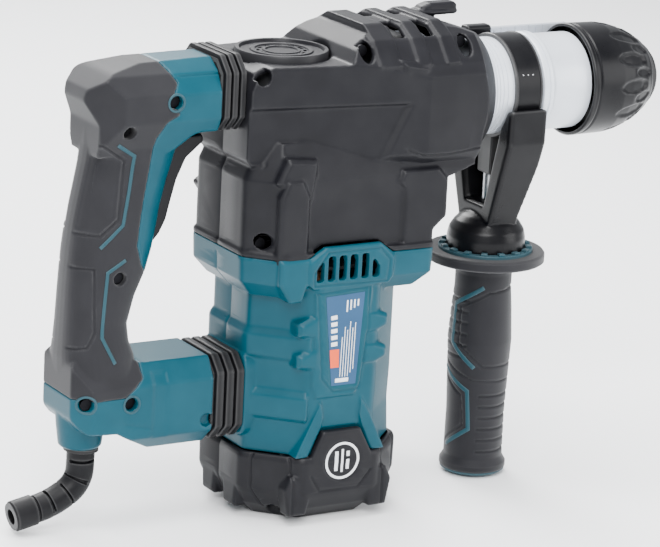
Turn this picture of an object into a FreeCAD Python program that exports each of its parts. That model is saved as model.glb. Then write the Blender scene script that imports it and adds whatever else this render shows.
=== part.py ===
import FreeCAD, Part
import math
import os
import Sketcher
from FreeCAD import Placement, Rotation, Vector

# Rotary demolition hammer with a vertical motor, a sprung D-handle and a swivelling side handle.
# +X runs along the hammer axis towards the chuck, +Y is the operator's left and +Z is up.
# The origin is the middle of the motor cap's foot, on the motor axis. Lengths are millimetres.

doc = FreeCAD.newDocument("rotary_hammer")
sheet = doc.addObject("Spreadsheet::Sheet", "Sizes")
aliases = []


class Size:
    """A length with its value and the expression that the document binds to it."""

    def __init__(self, value, text):
        self.value = float(value)
        self.text = text

    def __add__(self, other):
        return Size(self.value + number(other), "(%s + %s)" % (self.text, text_of(other)))

    def __radd__(self, other):
        return Size(number(other) + self.value, "(%s + %s)" % (text_of(other), self.text))

    def __sub__(self, other):
        return Size(self.value - number(other), "(%s - %s)" % (self.text, text_of(other)))

    def __rsub__(self, other):
        return Size(number(other) - self.value, "(%s - %s)" % (text_of(other), self.text))

    def __mul__(self, other):
        return Size(self.value * number(other), "(%s * %s)" % (self.text, text_of(other)))

    def __rmul__(self, other):
        return self * other

    def __truediv__(self, other):
        return Size(self.value / number(other), "(%s / %s)" % (self.text, text_of(other)))

    def __neg__(self):
        return Size(-self.value, "(-1 * %s)" % self.text)


def number(value):
    return value.value if isinstance(value, Size) else float(value)


def text_of(value):
    return value.text if isinstance(value, Size) else "%.6g" % value


def size(alias, value):
    """Write one driving dimension into the sheet and return it."""
    aliases.append(alias)
    row = len(aliases)
    sheet.set("A%d" % row, alias)
    sheet.set("B%d" % row, "%.6g" % value)
    sheet.setAlias("B%d" % row, alias)
    return Size(value, "Sizes." + alias)


# ---- driving dimensions -------------------------------------------------------------------------

axis_z = size("axis_z", 242)                  # hammer axis above the foot
wall = size("wall", 3)                        # moulded walls
seat = size("seat", 0.05)                     # gap round a part that is pressed or glued in place
running = size("running", 0.06)               # radial gap of a shaft in its bearing
joint_gap = size("joint_gap", 0.5)            # gap between casings that move against each other

cap_top = size("cap_top", 41)                 # motor cap meets motor housing
motor_half = size("motor_half", 50)           # half width of the eight-sided motor housing
motor_flat = size("motor_flat", 22)           # half length of each of its four main flats
cap_half = size("cap_half", 53)
seam_z = size("seam_z", 160)                  # motor housing meets gear cover
skirt_z = size("skirt_z", 145)                # underside of the motor housing's wide skirt

cover_rear = size("cover_rear", 59)           # gear cover behind the motor axis
cover_front = size("cover_front", 103)        # its round front rim
cover_shoulder = size("cover_shoulder", 87)   # where its flat sides end
cover_half = size("cover_half", 48)
cover_deck = size("cover_deck", 270)          # flat deck round the grease cap
cover_crown = size("cover_crown", 287)        # top of the vented crown
rim_radius = size("rim_radius", 35)

neck_radius = size("neck_radius", 29)
neck_end = size("neck_end", 176)
neck_bore = size("neck_bore", 23)
chuck_radius = size("chuck_radius", 34)
chuck_start = size("chuck_start", 174.6)
chuck_end = size("chuck_end", 224)
nose_end = size("nose_end", 235)
shank_radius = size("shank_radius", 5.05)     # SDS-plus tool bore, for a 10 mm shank
shank_depth = size("shank_depth", 70)

cylinder_bore = size("cylinder_bore", 15.5)
cylinder_wall = size("cylinder_wall", 3.5)
spindle_start = size("spindle_start", 3)
cylinder_end = size("cylinder_end", 108)
spindle_radius = size("spindle_radius", 12.5)

crank_x = size("crank_x", 26)                 # crank shaft behind the motor axis
crank_throw = size("crank_throw", 11)
rod_length = size("rod_length", 53)
piston_length = size("piston_length", 32)
layshaft_x = size("layshaft_x", 28)           # layshaft in front of the motor axis
gear_module = size("gear_module", 1)
gear_floor = size("gear_floor", 196)          # underside of the spur gears
gear_width = size("gear_width", 10)
case_floor = size("case_floor", 176)
case_base = size("case_base", 14)             # thickness of the gear case floor

band_start = size("band_start", 120.4)
band_end = size("band_end", 139)
band_wall = size("band_wall", 2.2)
grip_x = size("grip_x", 125.2)                # side grip axis
yoke_half = size("yoke_half", 35)
cup_radius = size("cup_radius", 23.8)
flange_radius = size("flange_radius", 36.1)
flange_top = size("flange_top", 141)
grip_radius = size("grip_radius", 18)
rod_end = size("rod_end", 194)                # front end of the depth rod
rod_start = size("rod_start", 108)

arm_half = size("arm_half", 26)               # half width of both handle arms
grip_half = size("grip_half", 17)
arm_top = size("arm_top", 275)
arm_bottom = size("arm_bottom", 233)
arm_front = size("arm_front", 74)             # upper arm ends here, behind the motor axis
foot_top = size("foot_top", 100)
foot_bottom = size("foot_bottom", 47)
foot_front = size("foot_front", 72)
guard_radius = size("guard_radius", 8.2)
cord_bore = size("cord_bore", 4.6)

PINION_TEETH = 8
CRANK_TEETH = 44
LAYSHAFT_TEETH = 48
BEVEL_TEETH = 12
RING_TEETH = 42
doc.recompute()


# ---- building blocks ----------------------------------------------------------------------------

PLANES = {"XY": "XY_Plane", "XZ": "XZ_Plane", "YZ": "YZ_Plane"}
ALONG = {
    "x": Rotation(Vector(0, 1, 0), 90),
    "y": Rotation(Vector(1, 0, 0), -90),
    "z": Rotation(),
}
subparts = []


def bind(thing, prop, value):
    """Give a property a plain number, or bind it to the sheet."""
    if isinstance(value, Size):
        thing.setExpression(prop, value.text)
    elif "." not in prop:
        setattr(thing, prop, value)


def place(thing, x, y, z, rotation=Rotation()):
    thing.Placement = Placement(Vector(number(x), number(y), number(z)), rotation)
    for letter, value in zip("xyz", (x, y, z)):
        bind(thing, "Placement.Base." + letter, value)
    return thing


def keep(thing, node):
    """Name a finished sub-part, so that it is written to a file of its own."""
    thing.Label = node
    subparts.append(thing)
    return thing


def origin_feature(body, role):
    return next(feature for feature in body.Origin.OriginFeatures if feature.Role == role)


def sketch_on(body, plane, offset=0):
    sketch = body.newObject("Sketcher::SketchObject", "Outline")
    sketch.AttachmentSupport = [(origin_feature(body, PLANES[plane]), "")]
    sketch.MapMode = "FlatFace"
    sketch.AttachmentOffset = Placement(Vector(0, 0, number(offset)), Rotation())
    bind(sketch, "AttachmentOffset.Base.z", offset)
    return sketch


def pin_point(constraints, bindings, geometry, place_on, direction, value):
    """Hold a point at a distance from the sketch origin, whatever the sign."""
    if number(value) == 0 and not isinstance(value, Size):
        constraints.append(Sketcher.Constraint("PointOnObject", geometry, place_on, -2 if direction == "X" else -1))
        return
    if number(value) >= 0:
        ends = (-1, 1, geometry, place_on)
        bound = value
    else:
        ends = (geometry, place_on, -1, 1)
        bound = -value
    constraints.append(Sketcher.Constraint("Distance" + direction, *ends, number(bound)))
    if isinstance(bound, Size):
        bindings.append((len(constraints) - 1, bound.text))


def draw(sketch, corners):
    """Draw a closed outline. A corner is (u, v), or (u, v, radius) where it is rounded."""
    count = len(corners)
    points = [Vector(number(c[0]), number(c[1]), 0) for c in corners]
    radii = [c[2] if len(c) > 2 else 0 for c in corners]
    stops, starts, middles = [], [], []
    for i in range(count):
        back = (points[i - 1] - points[i]).normalize()
        ahead = (points[(i + 1) % count] - points[i]).normalize()
        half = back.getAngle(ahead) / 2
        reach = number(radii[i]) / math.tan(half)
        stops.append(points[i] + back * reach)
        starts.append(points[i] + ahead * reach)
        middles.append(points[i] + (back + ahead).normalize() * (number(radii[i]) / math.sin(half)))
    geometry = [Part.LineSegment(starts[i], stops[(i + 1) % count]) for i in range(count)]
    constraints, bindings, markers = [], [], []
    for i in range(count):
        line_in, line_out = (i - 1) % count, i
        if number(radii[i]) == 0:
            constraints.append(Sketcher.Constraint("Coincident", line_in, 2, line_out, 1))
            pin_point(constraints, bindings, line_out, 1, "X", corners[i][0])
            pin_point(constraints, bindings, line_out, 1, "Y", corners[i][1])
            continue
        spoke_in, spoke_out = stops[i] - middles[i], starts[i] - middles[i]
        angles = [math.atan2(s.y, s.x) for s in (spoke_in, spoke_out)]
        left = (points[i] - points[i - 1]).cross(points[(i + 1) % count] - points[i]).z > 0
        first, last = (angles[0], angles[1]) if left else (angles[1], angles[0])
        circle = Part.Circle(middles[i], Vector(0, 0, 1), number(radii[i]))
        arc = len(geometry)
        geometry.append(Part.ArcOfCircle(circle, first, last))
        enter, leave = (1, 2) if left else (2, 1)
        marker = len(geometry)
        geometry.append(Part.Point(points[i]))
        markers.append(marker)
        constraints.append(Sketcher.Constraint("Tangent", line_in, 2, arc, enter))
        constraints.append(Sketcher.Constraint("Tangent", arc, leave, line_out, 1))
        constraints.append(Sketcher.Constraint("Radius", arc, number(radii[i])))
        if isinstance(radii[i], Size):
            bindings.append((len(constraints) - 1, radii[i].text))
        constraints.append(Sketcher.Constraint("PointOnObject", marker, 1, line_in))
        constraints.append(Sketcher.Constraint("PointOnObject", marker, 1, line_out))
        pin_point(constraints, bindings, marker, 1, "X", corners[i][0])
        pin_point(constraints, bindings, marker, 1, "Y", corners[i][1])
    sketch.addGeometry(geometry)
    for marker in markers:
        sketch.setConstruction(marker, True)
    sketch.addConstraint(constraints)
    for index, text in bindings:
        sketch.setExpression("Constraints[%d]" % index, text)


def prism(plane, corners, low, high):
    """A body padded from an outline. Its depth runs along +Y for XZ, +X for YZ and +Z for XY."""
    body = doc.addObject("PartDesign::Body", "Body")
    sketch = sketch_on(body, plane, -high if plane == "XZ" else low)
    draw(sketch, corners)
    pad = body.newObject("PartDesign::Pad", "Pad")
    pad.Profile = sketch
    bind(pad, "Length", high - low)
    sketch.Visibility = False
    return body


def turned(axis, profile, x=0, y=0, z=0):
    """A body turned about its own axis. The profile holds (along the axis, radius) pairs."""
    body = doc.addObject("PartDesign::Body", "Body")
    sketch = sketch_on(body, "XZ")
    if axis == "x":
        draw(sketch, profile)
    else:
        draw(sketch, [(point[1], point[0]) + tuple(point[2:]) for point in profile])
    revolution = body.newObject("PartDesign::Revolution", "Revolution")
    revolution.Profile = sketch
    revolution.ReferenceAxis = (sketch, ["H_Axis" if axis == "x" else "V_Axis"])
    revolution.Angle = 360
    return place(body, x, y, z)


def ring(axis, inner, outer, low, high, x=0, y=0, z=0):
    return turned(axis, [(low, inner), (high, inner), (high, outer), (low, outer)], x, y, z)


def cylinder(axis, radius, low, high, x=0, y=0, z=0):
    """A round bar from low to high along its axis, which goes through (x, y, z)."""
    bar = doc.addObject("Part::Cylinder", "Bar")
    bind(bar, "Radius", radius)
    bind(bar, "Height", high - low)
    start = {"x": (low, y, z), "y": (x, low, z), "z": (x, y, low)}[axis]
    return place(bar, *start, ALONG[axis])


def box(x0, x1, y0, y1, z0, z1):
    block = doc.addObject("Part::Box", "Block")
    bind(block, "Length", x1 - x0)
    bind(block, "Width", y1 - y0)
    bind(block, "Height", z1 - z0)
    return place(block, x0, y0, z0)


def ball(radius, x, y, z):
    sphere = doc.addObject("Part::Sphere", "Ball")
    bind(sphere, "Radius", radius)
    return place(sphere, x, y, z)


def fuse(*things):
    joined = doc.addObject("Part::MultiFuse", "Joined")
    joined.Shapes = list(things)
    joined.Refine = True
    return joined


def group(*things):
    """Separate solids kept together in one sub-part."""
    compound = doc.addObject("Part::Compound", "Group")
    compound.Links = list(things)
    return compound


def common(first, second):
    shared = doc.addObject("Part::MultiCommon", "Shared")
    shared.Shapes = [first, second]
    shared.Refine = True
    return shared


def cut(base, *tools):
    result = doc.addObject("Part::Cut", "Cut")
    result.Base = base
    result.Tool = tools[0] if len(tools) == 1 else fuse(*tools)
    result.Refine = True
    return result


def polar(body, axis_role, count, *features):
    """Repeat features of a body round one of its own axes."""
    pattern = body.newObject("PartDesign::PolarPattern", "Pattern")
    pattern.Originals = list(features)
    pattern.Axis = (origin_feature(body, axis_role), [""])
    pattern.Angle = 360
    pattern.Occurrences = count
    body.Tip = pattern
    return body


def halves(shell, left_node, right_node):
    """Split a casing on its middle plane into a left and a right shell."""
    reach = 400
    left = common(shell, box(-reach, reach, 0, reach, -reach, reach))
    right = common(shell, box(-reach, reach, -reach, 0, -reach, reach))
    return keep(left, left_node), keep(right, right_node)


def spur_gear(teeth, bore, low, high, x, turn):
    """A spur gear with slim straight-flanked teeth. turn is its angle at rest in degrees."""
    pitch = gear_module * (teeth / 2)
    root = pitch - gear_module * 1.2
    tip = pitch + gear_module * 0.9
    body = doc.addObject("PartDesign::Body", "Gear")
    rim_sketch = sketch_on(body, "XY", low)
    overlap = 0.4
    circle = Part.Circle(Vector(), Vector(0, 0, 1), number(root))
    rim_sketch.addGeometry(circle)
    rim_sketch.addConstraint(Sketcher.Constraint("Coincident", 0, 3, -1, 1))
    rim_sketch.addConstraint(Sketcher.Constraint("Radius", 0, number(root)))
    rim_sketch.setExpression("Constraints[1]", root.text)
    if bore is not None:
        rim_sketch.addGeometry(Part.Circle(Vector(), Vector(0, 0, 1), number(bore)))
        rim_sketch.addConstraint(Sketcher.Constraint("Coincident", 1, 3, -1, 1))
        rim_sketch.addConstraint(Sketcher.Constraint("Radius", 1, number(bore)))
        rim_sketch.setExpression("Constraints[3]", bore.text)
    rim = body.newObject("PartDesign::Pad", "Rim")
    rim.Profile = rim_sketch
    bind(rim, "Length", high - low)
    tooth_sketch = sketch_on(body, "XY", low)
    root_half, tip_half = gear_module * 0.86, gear_module * 0.34
    draw(tooth_sketch, [
        (root - overlap, -root_half),
        (tip, -tip_half),
        (tip, tip_half),
        (root - overlap, root_half),
    ])
    tooth = body.newObject("PartDesign::Pad", "Tooth")
    tooth.Profile = tooth_sketch
    bind(tooth, "Length", high - low)
    polar(body, "Z_Axis", teeth, tooth)
    return place(body, x, 0, 0, Rotation(Vector(0, 0, 1), turn))


SCREW_HEAD = (3.4, 2.6)                        # radius and height of a pan head
SHANK = 1.9


def screw(axis, head_at, length, x=0, y=0, z=0):
    """A pan-head screw: its head stands on the seat at head_at and its shank runs on from there."""
    head_radius, head_height = SCREW_HEAD
    return fuse(
        cylinder(axis, head_radius, head_at - head_height, head_at, x, y, z),
        cylinder(axis, SHANK, head_at, head_at + length, x, y, z),
    )


def octagon(half, flat):
    """Corners of an eight-sided section: four main flats, joined by four corner flats."""
    return [
        (half, -flat), (half, flat), (flat, half), (-flat, half),
        (-half, flat), (-half, -flat), (-flat, -half), (flat, -half),
    ]


def chamfer(body, amount, chooser):
    """Bevel the edges of a body's last feature that the chooser accepts."""
    doc.recompute()
    base = body.Tip
    names = ["Edge%d" % (i + 1) for i, edge in enumerate(base.Shape.Edges) if chooser(edge)]
    feature = body.newObject("PartDesign::Chamfer", "Chamfer")
    feature.Base = (base, names)
    bind(feature, "Size", amount)
    body.Tip = feature
    return body


def level_edges(level):
    """Choose the edges that lie flat at one height."""
    def chooser(edge):
        return abs(edge.BoundBox.ZMin - number(level)) < 0.01 and edge.BoundBox.ZLength < 0.01
    return chooser


def side_edges(half):
    """Choose the edges that lie in the two side faces at +-half."""
    def chooser(edge):
        return edge.BoundBox.YLength < 0.01 and abs(abs(edge.BoundBox.YMin) - number(half)) < 0.01
    return chooser


BOSS, RECESS, PILOT = 4.6, 3.6, 1.95          # screw boss, head recess and screw hole, as radii


def screw_places(places, axis="y"):
    """Bosses, holes and screws for a list of (x, z, head seat, boss end) along the axis."""
    bosses, holes, screws = [], [], []
    for x, z, head, end in places:
        middle = {"x": x, "z": z} if axis == "y" else {"x": x, "y": z}
        bosses.append(cylinder(axis, BOSS, head - 6.5, end, **middle))
        holes.append(cylinder(axis, RECESS, head - 40, head, **middle))
        holes.append(cylinder(axis, PILOT, head, end - 1, **middle))
        screws.append(screw(axis, head, end - head - 2, **middle))
    return bosses, holes, screws


# ---- motor housing and cap ----------------------------------------------------------------------

cap_wall = wall + 1
cap_corner = motor_flat + 2
shaft_radius = 5
lower_journal = 4
bearing_low = 25
cap_screw_at = 32
cap_body = chamfer(prism("XY", octagon(cap_half, cap_corner), 0, cap_top), 9, level_edges(0))
cap_hollow = chamfer(prism("XY", octagon(cap_half - cap_wall, cap_corner - 2), cap_wall, cap_top + 1), 8,
                     level_edges(cap_wall))
cap_places = [(x, y, 14, 60) for x in (-cap_screw_at, cap_screw_at) for y in (-cap_screw_at, cap_screw_at)]
_, cap_holes, cap_screw_list = screw_places(cap_places, "z")
cap_bosses = [cylinder("z", BOSS, cap_wall - 1, cap_top, x, y) for x, y, _, _ in cap_places]
bearing_post = cylinder("z", 14, cap_wall - 1, bearing_low + 10)
cap_bearing_seat = cylinder("z", 11 + seat, bearing_low, cap_top)
motor_cap = cut(fuse(cut(cap_body, cap_hollow), bearing_post, *cap_bosses), cap_bearing_seat, *cap_holes)
keep(motor_cap, "motor_cap")
keep(group(*cap_screw_list), "cap_screws")

column = prism("XY", octagon(motor_half, motor_flat), cap_top, skirt_z + 3)
skirt_front = cover_front - 46
skirt = prism("XY", [
    (-cover_rear, -30), (-cover_rear + 18, -motor_half), (skirt_front - 18, -motor_half), (skirt_front, -30),
    (skirt_front, 30), (skirt_front - 18, motor_half), (-cover_rear + 18, motor_half), (-cover_rear, 30),
], skirt_z, seam_z)
skirt_hollow = prism("XY", [
    (wall - cover_rear, -29), (wall - cover_rear + 16, wall - motor_half),
    (skirt_front - wall - 16, wall - motor_half), (skirt_front - wall, -29),
    (skirt_front - wall, 29), (skirt_front - wall - 16, motor_half - wall),
    (wall - cover_rear + 16, motor_half - wall), (wall - cover_rear, 29),
], skirt_z + wall, seam_z + 1)
column_hollow = prism("XY", octagon(motor_half - wall, motor_flat - 1.2), cap_top - 1, skirt_z + 4)
block_rear = motor_half + 2
block = box(-block_rear, -motor_half + 8, -arm_half, arm_half, foot_bottom + 2, foot_top)
block_hollow = cylinder("z", motor_half - wall, cap_top - 1, skirt_z)
vents = [box(-20 + 7 * i, -15.5 + 7 * i, -70, 70, skirt_z + 2, seam_z - 2) for i in range(6)]
housing_bosses = [cylinder("z", BOSS, cap_top, 62, x, y) for x, y, _, _ in cap_places]
housing_holes = [cylinder("z", PILOT, cap_top - 1, 59, x, y) for x, y, _, _ in cap_places]
low_guide_z = foot_bottom + 14
motor_housing = cut(
    fuse(cut(fuse(column, skirt, block), skirt_hollow, column_hollow, block_hollow), *housing_bosses),
    cylinder("x", 4 + seat, -block_rear - 2, 0, z=low_guide_z), *housing_holes, *vents)
keep(motor_housing, "motor_housing")

# ---- motor --------------------------------------------------------------------------------------

rotor_radius = 24
stack_low, stack_high = 74, 138
air_gap = 0.6
stator = cut(ring("z", rotor_radius + air_gap, motor_half - wall - seat, stack_low, stack_high),
             box(-60, 60, -8, 8, stack_low + 12, stack_high - 12))
keep(stator, "stator")
case_inside = case_floor + case_base
pinion_core = gear_module * (PINION_TEETH / 2 - 1.2)
shaft = turned("z", [
    (bearing_low + 0.5, 0), (bearing_low + 0.5, lower_journal), (bearing_low + 9, lower_journal), (bearing_low + 9, shaft_radius),
    (gear_floor - 3, shaft_radius), (gear_floor - 3, pinion_core), (gear_floor + gear_width + 2, pinion_core),
    (gear_floor + gear_width + 2, 0),
])
pinion = spur_gear(PINION_TEETH, None, gear_floor, gear_floor + gear_width, 0, 0)
keep(fuse(shaft, pinion), "armature_shaft")
keep(ring("z", shaft_radius + seat, rotor_radius, stack_low, stack_high), "rotor_core")
coil = [(stack_low - 12, 9), (stack_low - 12, 18), (stack_low - 6, 22), (stack_low - seat, 22),
        (stack_low - seat, 9)]
coil_top = [(stack_high + seat, 9), (stack_high + seat, 22), (stack_high + 5, 21), (stack_high + 8, 16),
            (stack_high + 8, 9)]
keep(group(turned("z", coil), turned("z", coil_top)), "rotor_windings")
commutator_radius = 14
keep(ring("z", shaft_radius + seat, commutator_radius, 42, 60), "commutator")
brush_gap = 0.35
keep(group(*[box(-3, 3, *sorted((s * (commutator_radius + brush_gap), s * 32)), 47, 55) for s in (-1, 1)]),
     "carbon_brushes")
holder_reach = motor_half - wall - 2
keep(group(*[cut(box(-6, 6, 18 if s > 0 else -holder_reach, holder_reach if s > 0 else -18, 44, 58),
                 box(-3 - seat, 3 + seat, 17 if s > 0 else wall - holder_reach,
                     holder_reach - wall if s > 0 else -17, 47 - seat, 55 + seat)) for s in (-1, 1)]),
     "brush_holders")
fan_low = 149
fan_radius = 38
FAN_BLADES = 14
fan = turned("z", [
    (fan_low, shaft_radius + seat), (fan_low + 11, shaft_radius + seat), (fan_low + 11, 11),
    (fan_low + 2, 11), (fan_low + 2, fan_radius), (fan_low, fan_radius),
])
blade_sketch = sketch_on(fan, "XY", fan_low + 1)
draw(blade_sketch, [(10, -0.8), (fan_radius - 1, -0.8), (fan_radius - 1, 0.8), (10, 0.8)])
blade = fan.newObject("PartDesign::Pad", "Blade")
blade.Profile = blade_sketch
bind(blade, "Length", 9)
keep(polar(fan, "Z_Axis", FAN_BLADES, blade), "fan")


def bearing(axis, bore, outer, low, high, node, x=0, z=0):
    """A ball bearing's two races and seals as one ring, with a groove in each face."""
    step = (outer - bore) * 0.3
    groove = 0.6
    keep(turned(axis, [
        (low, bore), (high, bore), (high, bore + step), (high - groove, bore + step),
        (high - groove, outer - step), (high, outer - step), (high, outer), (low, outer),
        (low, outer - step), (low + groove, outer - step), (low + groove, bore + step), (low, bore + step),
    ], x, 0, z), node)


bearing("z", lower_journal + running, 11, bearing_low, bearing_low + 8, "motor_bottom_bearing")
bearing_seat = case_floor + 3
bearing("z", shaft_radius + running, 13, bearing_seat, bearing_seat + 10, "motor_top_bearing")
bearing("z", 6 + running, 11, bearing_seat, bearing_seat + 10, "crank_bearing", -crank_x)
bearing("z", 5 + running, 11, bearing_seat, bearing_seat + 10, "layshaft_bearing", layshaft_x)

# ---- gear case and neck -------------------------------------------------------------------------

case_rear, case_front, case_half = 54, 60, 38
case_top, case_peak = 266.5, 276
case_wall = 4
cylinder_radius = cylinder_bore + cylinder_wall
case_tail = 29                                 # half width of the case at its rear end


def case_plan(inset):
    """Outline of the gear case from above, narrower towards the rear."""
    tail, half = case_tail - inset, case_half - inset
    return prism("XY", [
        (inset - case_rear, -tail), (inset - 20, 3 - half), (case_front - inset, -half),
        (case_front - inset, half), (inset - 20, half - 3), (inset - case_rear, tail),
    ], case_floor - 1, case_peak + 1)


case_solid = common(common(
    prism("XZ", [(-case_rear, case_floor), (case_front, case_floor), (case_front, case_peak), (26, case_peak),
                 (26, case_top), (12 - case_rear, case_top), (-case_rear, case_top - 16.5)], -case_half, case_half),
    prism("YZ", [(-case_half, case_floor), (case_half, case_floor), (case_half, 254), (30, case_peak),
                 (-30, case_peak), (-case_half, 254)], -case_rear, case_front)), case_plan(0))
case_hollow = common(common(
    prism("XZ", [(case_wall - case_rear, case_inside), (case_front - case_wall, case_inside),
                 (case_front - case_wall, case_peak - case_wall), (30, case_peak - case_wall),
                 (30, case_top - case_wall), (15 - case_rear, case_top - case_wall),
                 (case_wall - case_rear, case_top - 18.5)],
          case_wall - case_half, case_half - case_wall),
    prism("YZ", [(case_wall - case_half, case_inside), (case_half - case_wall, case_inside),
                 (case_half - case_wall, 252), (27, case_peak - case_wall), (-27, case_peak - case_wall),
                 (case_wall - case_half, 252)], -case_rear, case_front)), case_plan(case_wall))
grease_x = 22.7
grease_neck = 20
bearing_places = [(0, 13), (-crank_x, 11), (layshaft_x, 11)]
bearing_holes = [cylinder("z", radius + seat, bearing_seat, case_inside + 1, x) for x, radius in bearing_places]
shaft_hole = cylinder("z", shaft_radius + 2, case_floor - 1, case_inside)
gear_case = cut(
    case_solid, case_hollow, shaft_hole, *bearing_holes,
    cylinder("z", grease_neck + 0.1, case_top - case_wall - 1, case_top + 1, -grease_x),
    cylinder("x", cylinder_radius + running, case_front - case_wall - 1, case_front + 1, z=axis_z))
keep(gear_case, "gear_case")

neck_flange = 36
step_ring = 2
front_seat = neck_end - 12
spindle_clear = 17
neck = turned("x", [
    (case_front + seat, neck_bore), (case_front + seat, neck_flange), (case_front + 8, neck_flange),
    (case_front + 8, neck_radius), (band_end + 1.5, neck_radius), (band_end + 1.5, neck_radius + step_ring),
    (band_end + 8, neck_radius + step_ring), (band_end + 9.5, neck_radius), (neck_end - 1, neck_radius),
    (neck_end, neck_radius - 1), (neck_end, spindle_clear), (neck_end - 5, spindle_clear),
    (neck_end - 5, neck_bore),
], z=axis_z)
keep(neck, "barrel_housing")
bearing("x", spindle_radius + running, neck_bore - seat, front_seat - 15, front_seat - 3, "spindle_bearing",
        z=axis_z)
keep(turned("x", [
    (front_seat, spindle_radius + running), (front_seat + 6, spindle_radius + running),
    (front_seat + 6, neck_bore - seat), (front_seat, neck_bore - seat), (front_seat, neck_bore - 2),
    (front_seat + 4, neck_bore - 4), (front_seat + 4, spindle_radius + 2), (front_seat, spindle_radius + 1),
], z=axis_z), "spindle_seal")

# ---- gear cover ---------------------------------------------------------------------------------

crown_start = 3
head_tail = 33                                 # half width of the cover's head at the rear
skirt_tail = 30                                # half width of its skirt there
shelf_z = 222                                  # top of the skirt


def cover_profile(inset):
    """Side outline of the gear cover, moved inwards by the wall for its hollow."""
    return [
        (inset - cover_rear, seam_z - (1 if inset else 0)), (inset - cover_rear, cover_deck - inset - 14),
        (inset - cover_rear + 10, cover_deck - inset), (crown_start + inset, cover_deck - inset),
        (crown_start + inset + 6, cover_crown - inset - 3), (63, cover_crown - inset),
        (96, cover_crown - inset - 8), (cover_front - inset, axis_z + rim_radius - inset),
        (cover_front - inset, axis_z - rim_radius + inset), (cover_shoulder - inset, axis_z - rim_radius + inset),
        (66 - inset, 200 + inset), (67 - inset, 177), (58 - inset, 170),
        (58 - inset, seam_z - (1 if inset else 0)),
    ]


def cover_section(inset):
    """Front outline of the gear cover's flat-sided part."""
    low = seam_z - (1 if inset else 0)
    half = cover_half - inset
    return [(-half, low), (half, low), (half, 250), (33 - inset, 284 - inset), (12, cover_crown + 3 - inset),
            (-12, cover_crown + 3 - inset), (inset - 33, 284 - inset), (-half, 250)]


def front_cone(inset):
    """Keeps the cover's front inside a cone that runs down to its round rim."""
    return turned("x", [
        (-cover_rear - 1, 0), (cover_front, 0), (cover_front, rim_radius - inset),
        (cover_shoulder - 6, cover_half + 14 - inset), (cover_shoulder - 6, 120), (-cover_rear - 1, 120),
    ], z=axis_z)


def cover_plan(inset):
    """Keeps the cover's head and its skirt inside their outlines from above, both narrower at the rear."""
    rear, half = inset - cover_rear, cover_half - inset
    head = prism("XY", [
        (rear, inset - head_tail), (50, -half), (cover_front + 1, -half), (cover_front + 1, half),
        (50, half), (rear, head_tail - inset),
    ], shelf_z - 8 + inset, cover_crown + 6)
    skirt = prism("XY", [
        (rear, inset - skirt_tail), (-44, 3 - half), (cover_front + 1, 3 - half), (cover_front + 1, half - 3),
        (-44, half - 3), (rear, skirt_tail - inset),
    ], seam_z - 2, shelf_z - inset)
    return fuse(head, skirt)


def cover_solid(inset):
    flat = common(prism("XZ", cover_profile(inset), inset - cover_half, cover_half - inset),
                  prism("YZ", cover_section(inset), -cover_rear, cover_front - inset))
    return common(common(flat, front_cone(inset)), cover_plan(inset))


cover_places = [(-50, 168, -31, 35), (50, 168, -38, 43), (12, 276, -29, 33), (78, 277.5, -29, 0)]
crown_vents = [box(x, x + 8, *sorted((s * 9, s * 30)), cover_crown - 16, cover_crown + 6)
               for x in (34, 53) for s in (-1, 1)]
cover_bosses, cover_holes, cover_screws = screw_places(cover_places)
keep(group(*cover_screws), "cover_screws")
top_knob_x, top_knob_y, top_knob_radius = 79, 10, 9
side_knob_x, side_knob_z, side_knob_radius = 19, 195, 24
guide_radius = 4
guide_z = 246
cover_shell = cut(
    fuse(cut(cover_solid(0), cover_solid(wall)), *cover_bosses), *cover_holes,
    cylinder("x", neck_radius + joint_gap, cover_front - wall - 2, cover_front + 1, z=axis_z),
    cylinder("z", 28, cover_deck - wall - 2, cover_deck + 4, -grease_x),
    cylinder("z", top_knob_radius - 3, 270, 292, top_knob_x, top_knob_y),
    cylinder("y", 5.4, cover_half - wall - 8, cover_half + 1, -side_knob_x, z=side_knob_z),
    cylinder("x", guide_radius + seat, -cover_rear - 1, -cover_rear + wall + 1, z=guide_z),
    *crown_vents)
halves(cover_shell, "gear_cover_left", "gear_cover_right")

cap_flange = 27.4
keep(turned("z", [
    (case_top - case_wall, 0), (case_top - case_wall, grease_neck), (cover_deck - 3, grease_neck),
    (cover_deck - 3, cap_flange), (cover_deck + 3.7, cap_flange), (cover_deck + 3.7, cap_flange - 3),
    (cover_deck + 2.4, cap_flange - 3), (cover_deck + 2.4, 0),
], -grease_x), "grease_cap")

top_stem = cylinder("z", top_knob_radius - 3.4, 275, 288, top_knob_x, top_knob_y)
top_lever = chamfer(prism("XY", [(70, 3), (100, 5), (100, 15), (70, 17)], 287.4, 292.6), 1.5,
                    level_edges(292.6))
keep(fuse(top_stem, top_lever), "top_selector")
side_disc = turned("z", [
    (cover_half - wall - 2, 0), (cover_half - wall - 2, 5), (cover_half + joint_gap, 5),
    (cover_half + joint_gap, side_knob_radius), (cover_half + 5, side_knob_radius),
    (cover_half + 7, side_knob_radius - 2), (cover_half + 7, 0),
])
pointer = prism("XY", [(-30, -6), (14, -5), (20, 0), (14, 5), (-30, 6)], cover_half + 6, cover_half + 13)
side_knob = fuse(side_disc, pointer)
POINTER_TILT = 35
place(side_knob, -side_knob_x, 0, side_knob_z,
      Rotation(Vector(0, 1, 0), -POINTER_TILT) * Rotation(Vector(1, 0, 0), -90))
keep(side_knob, "side_selector")

# ---- crank drive --------------------------------------------------------------------------------

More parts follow.
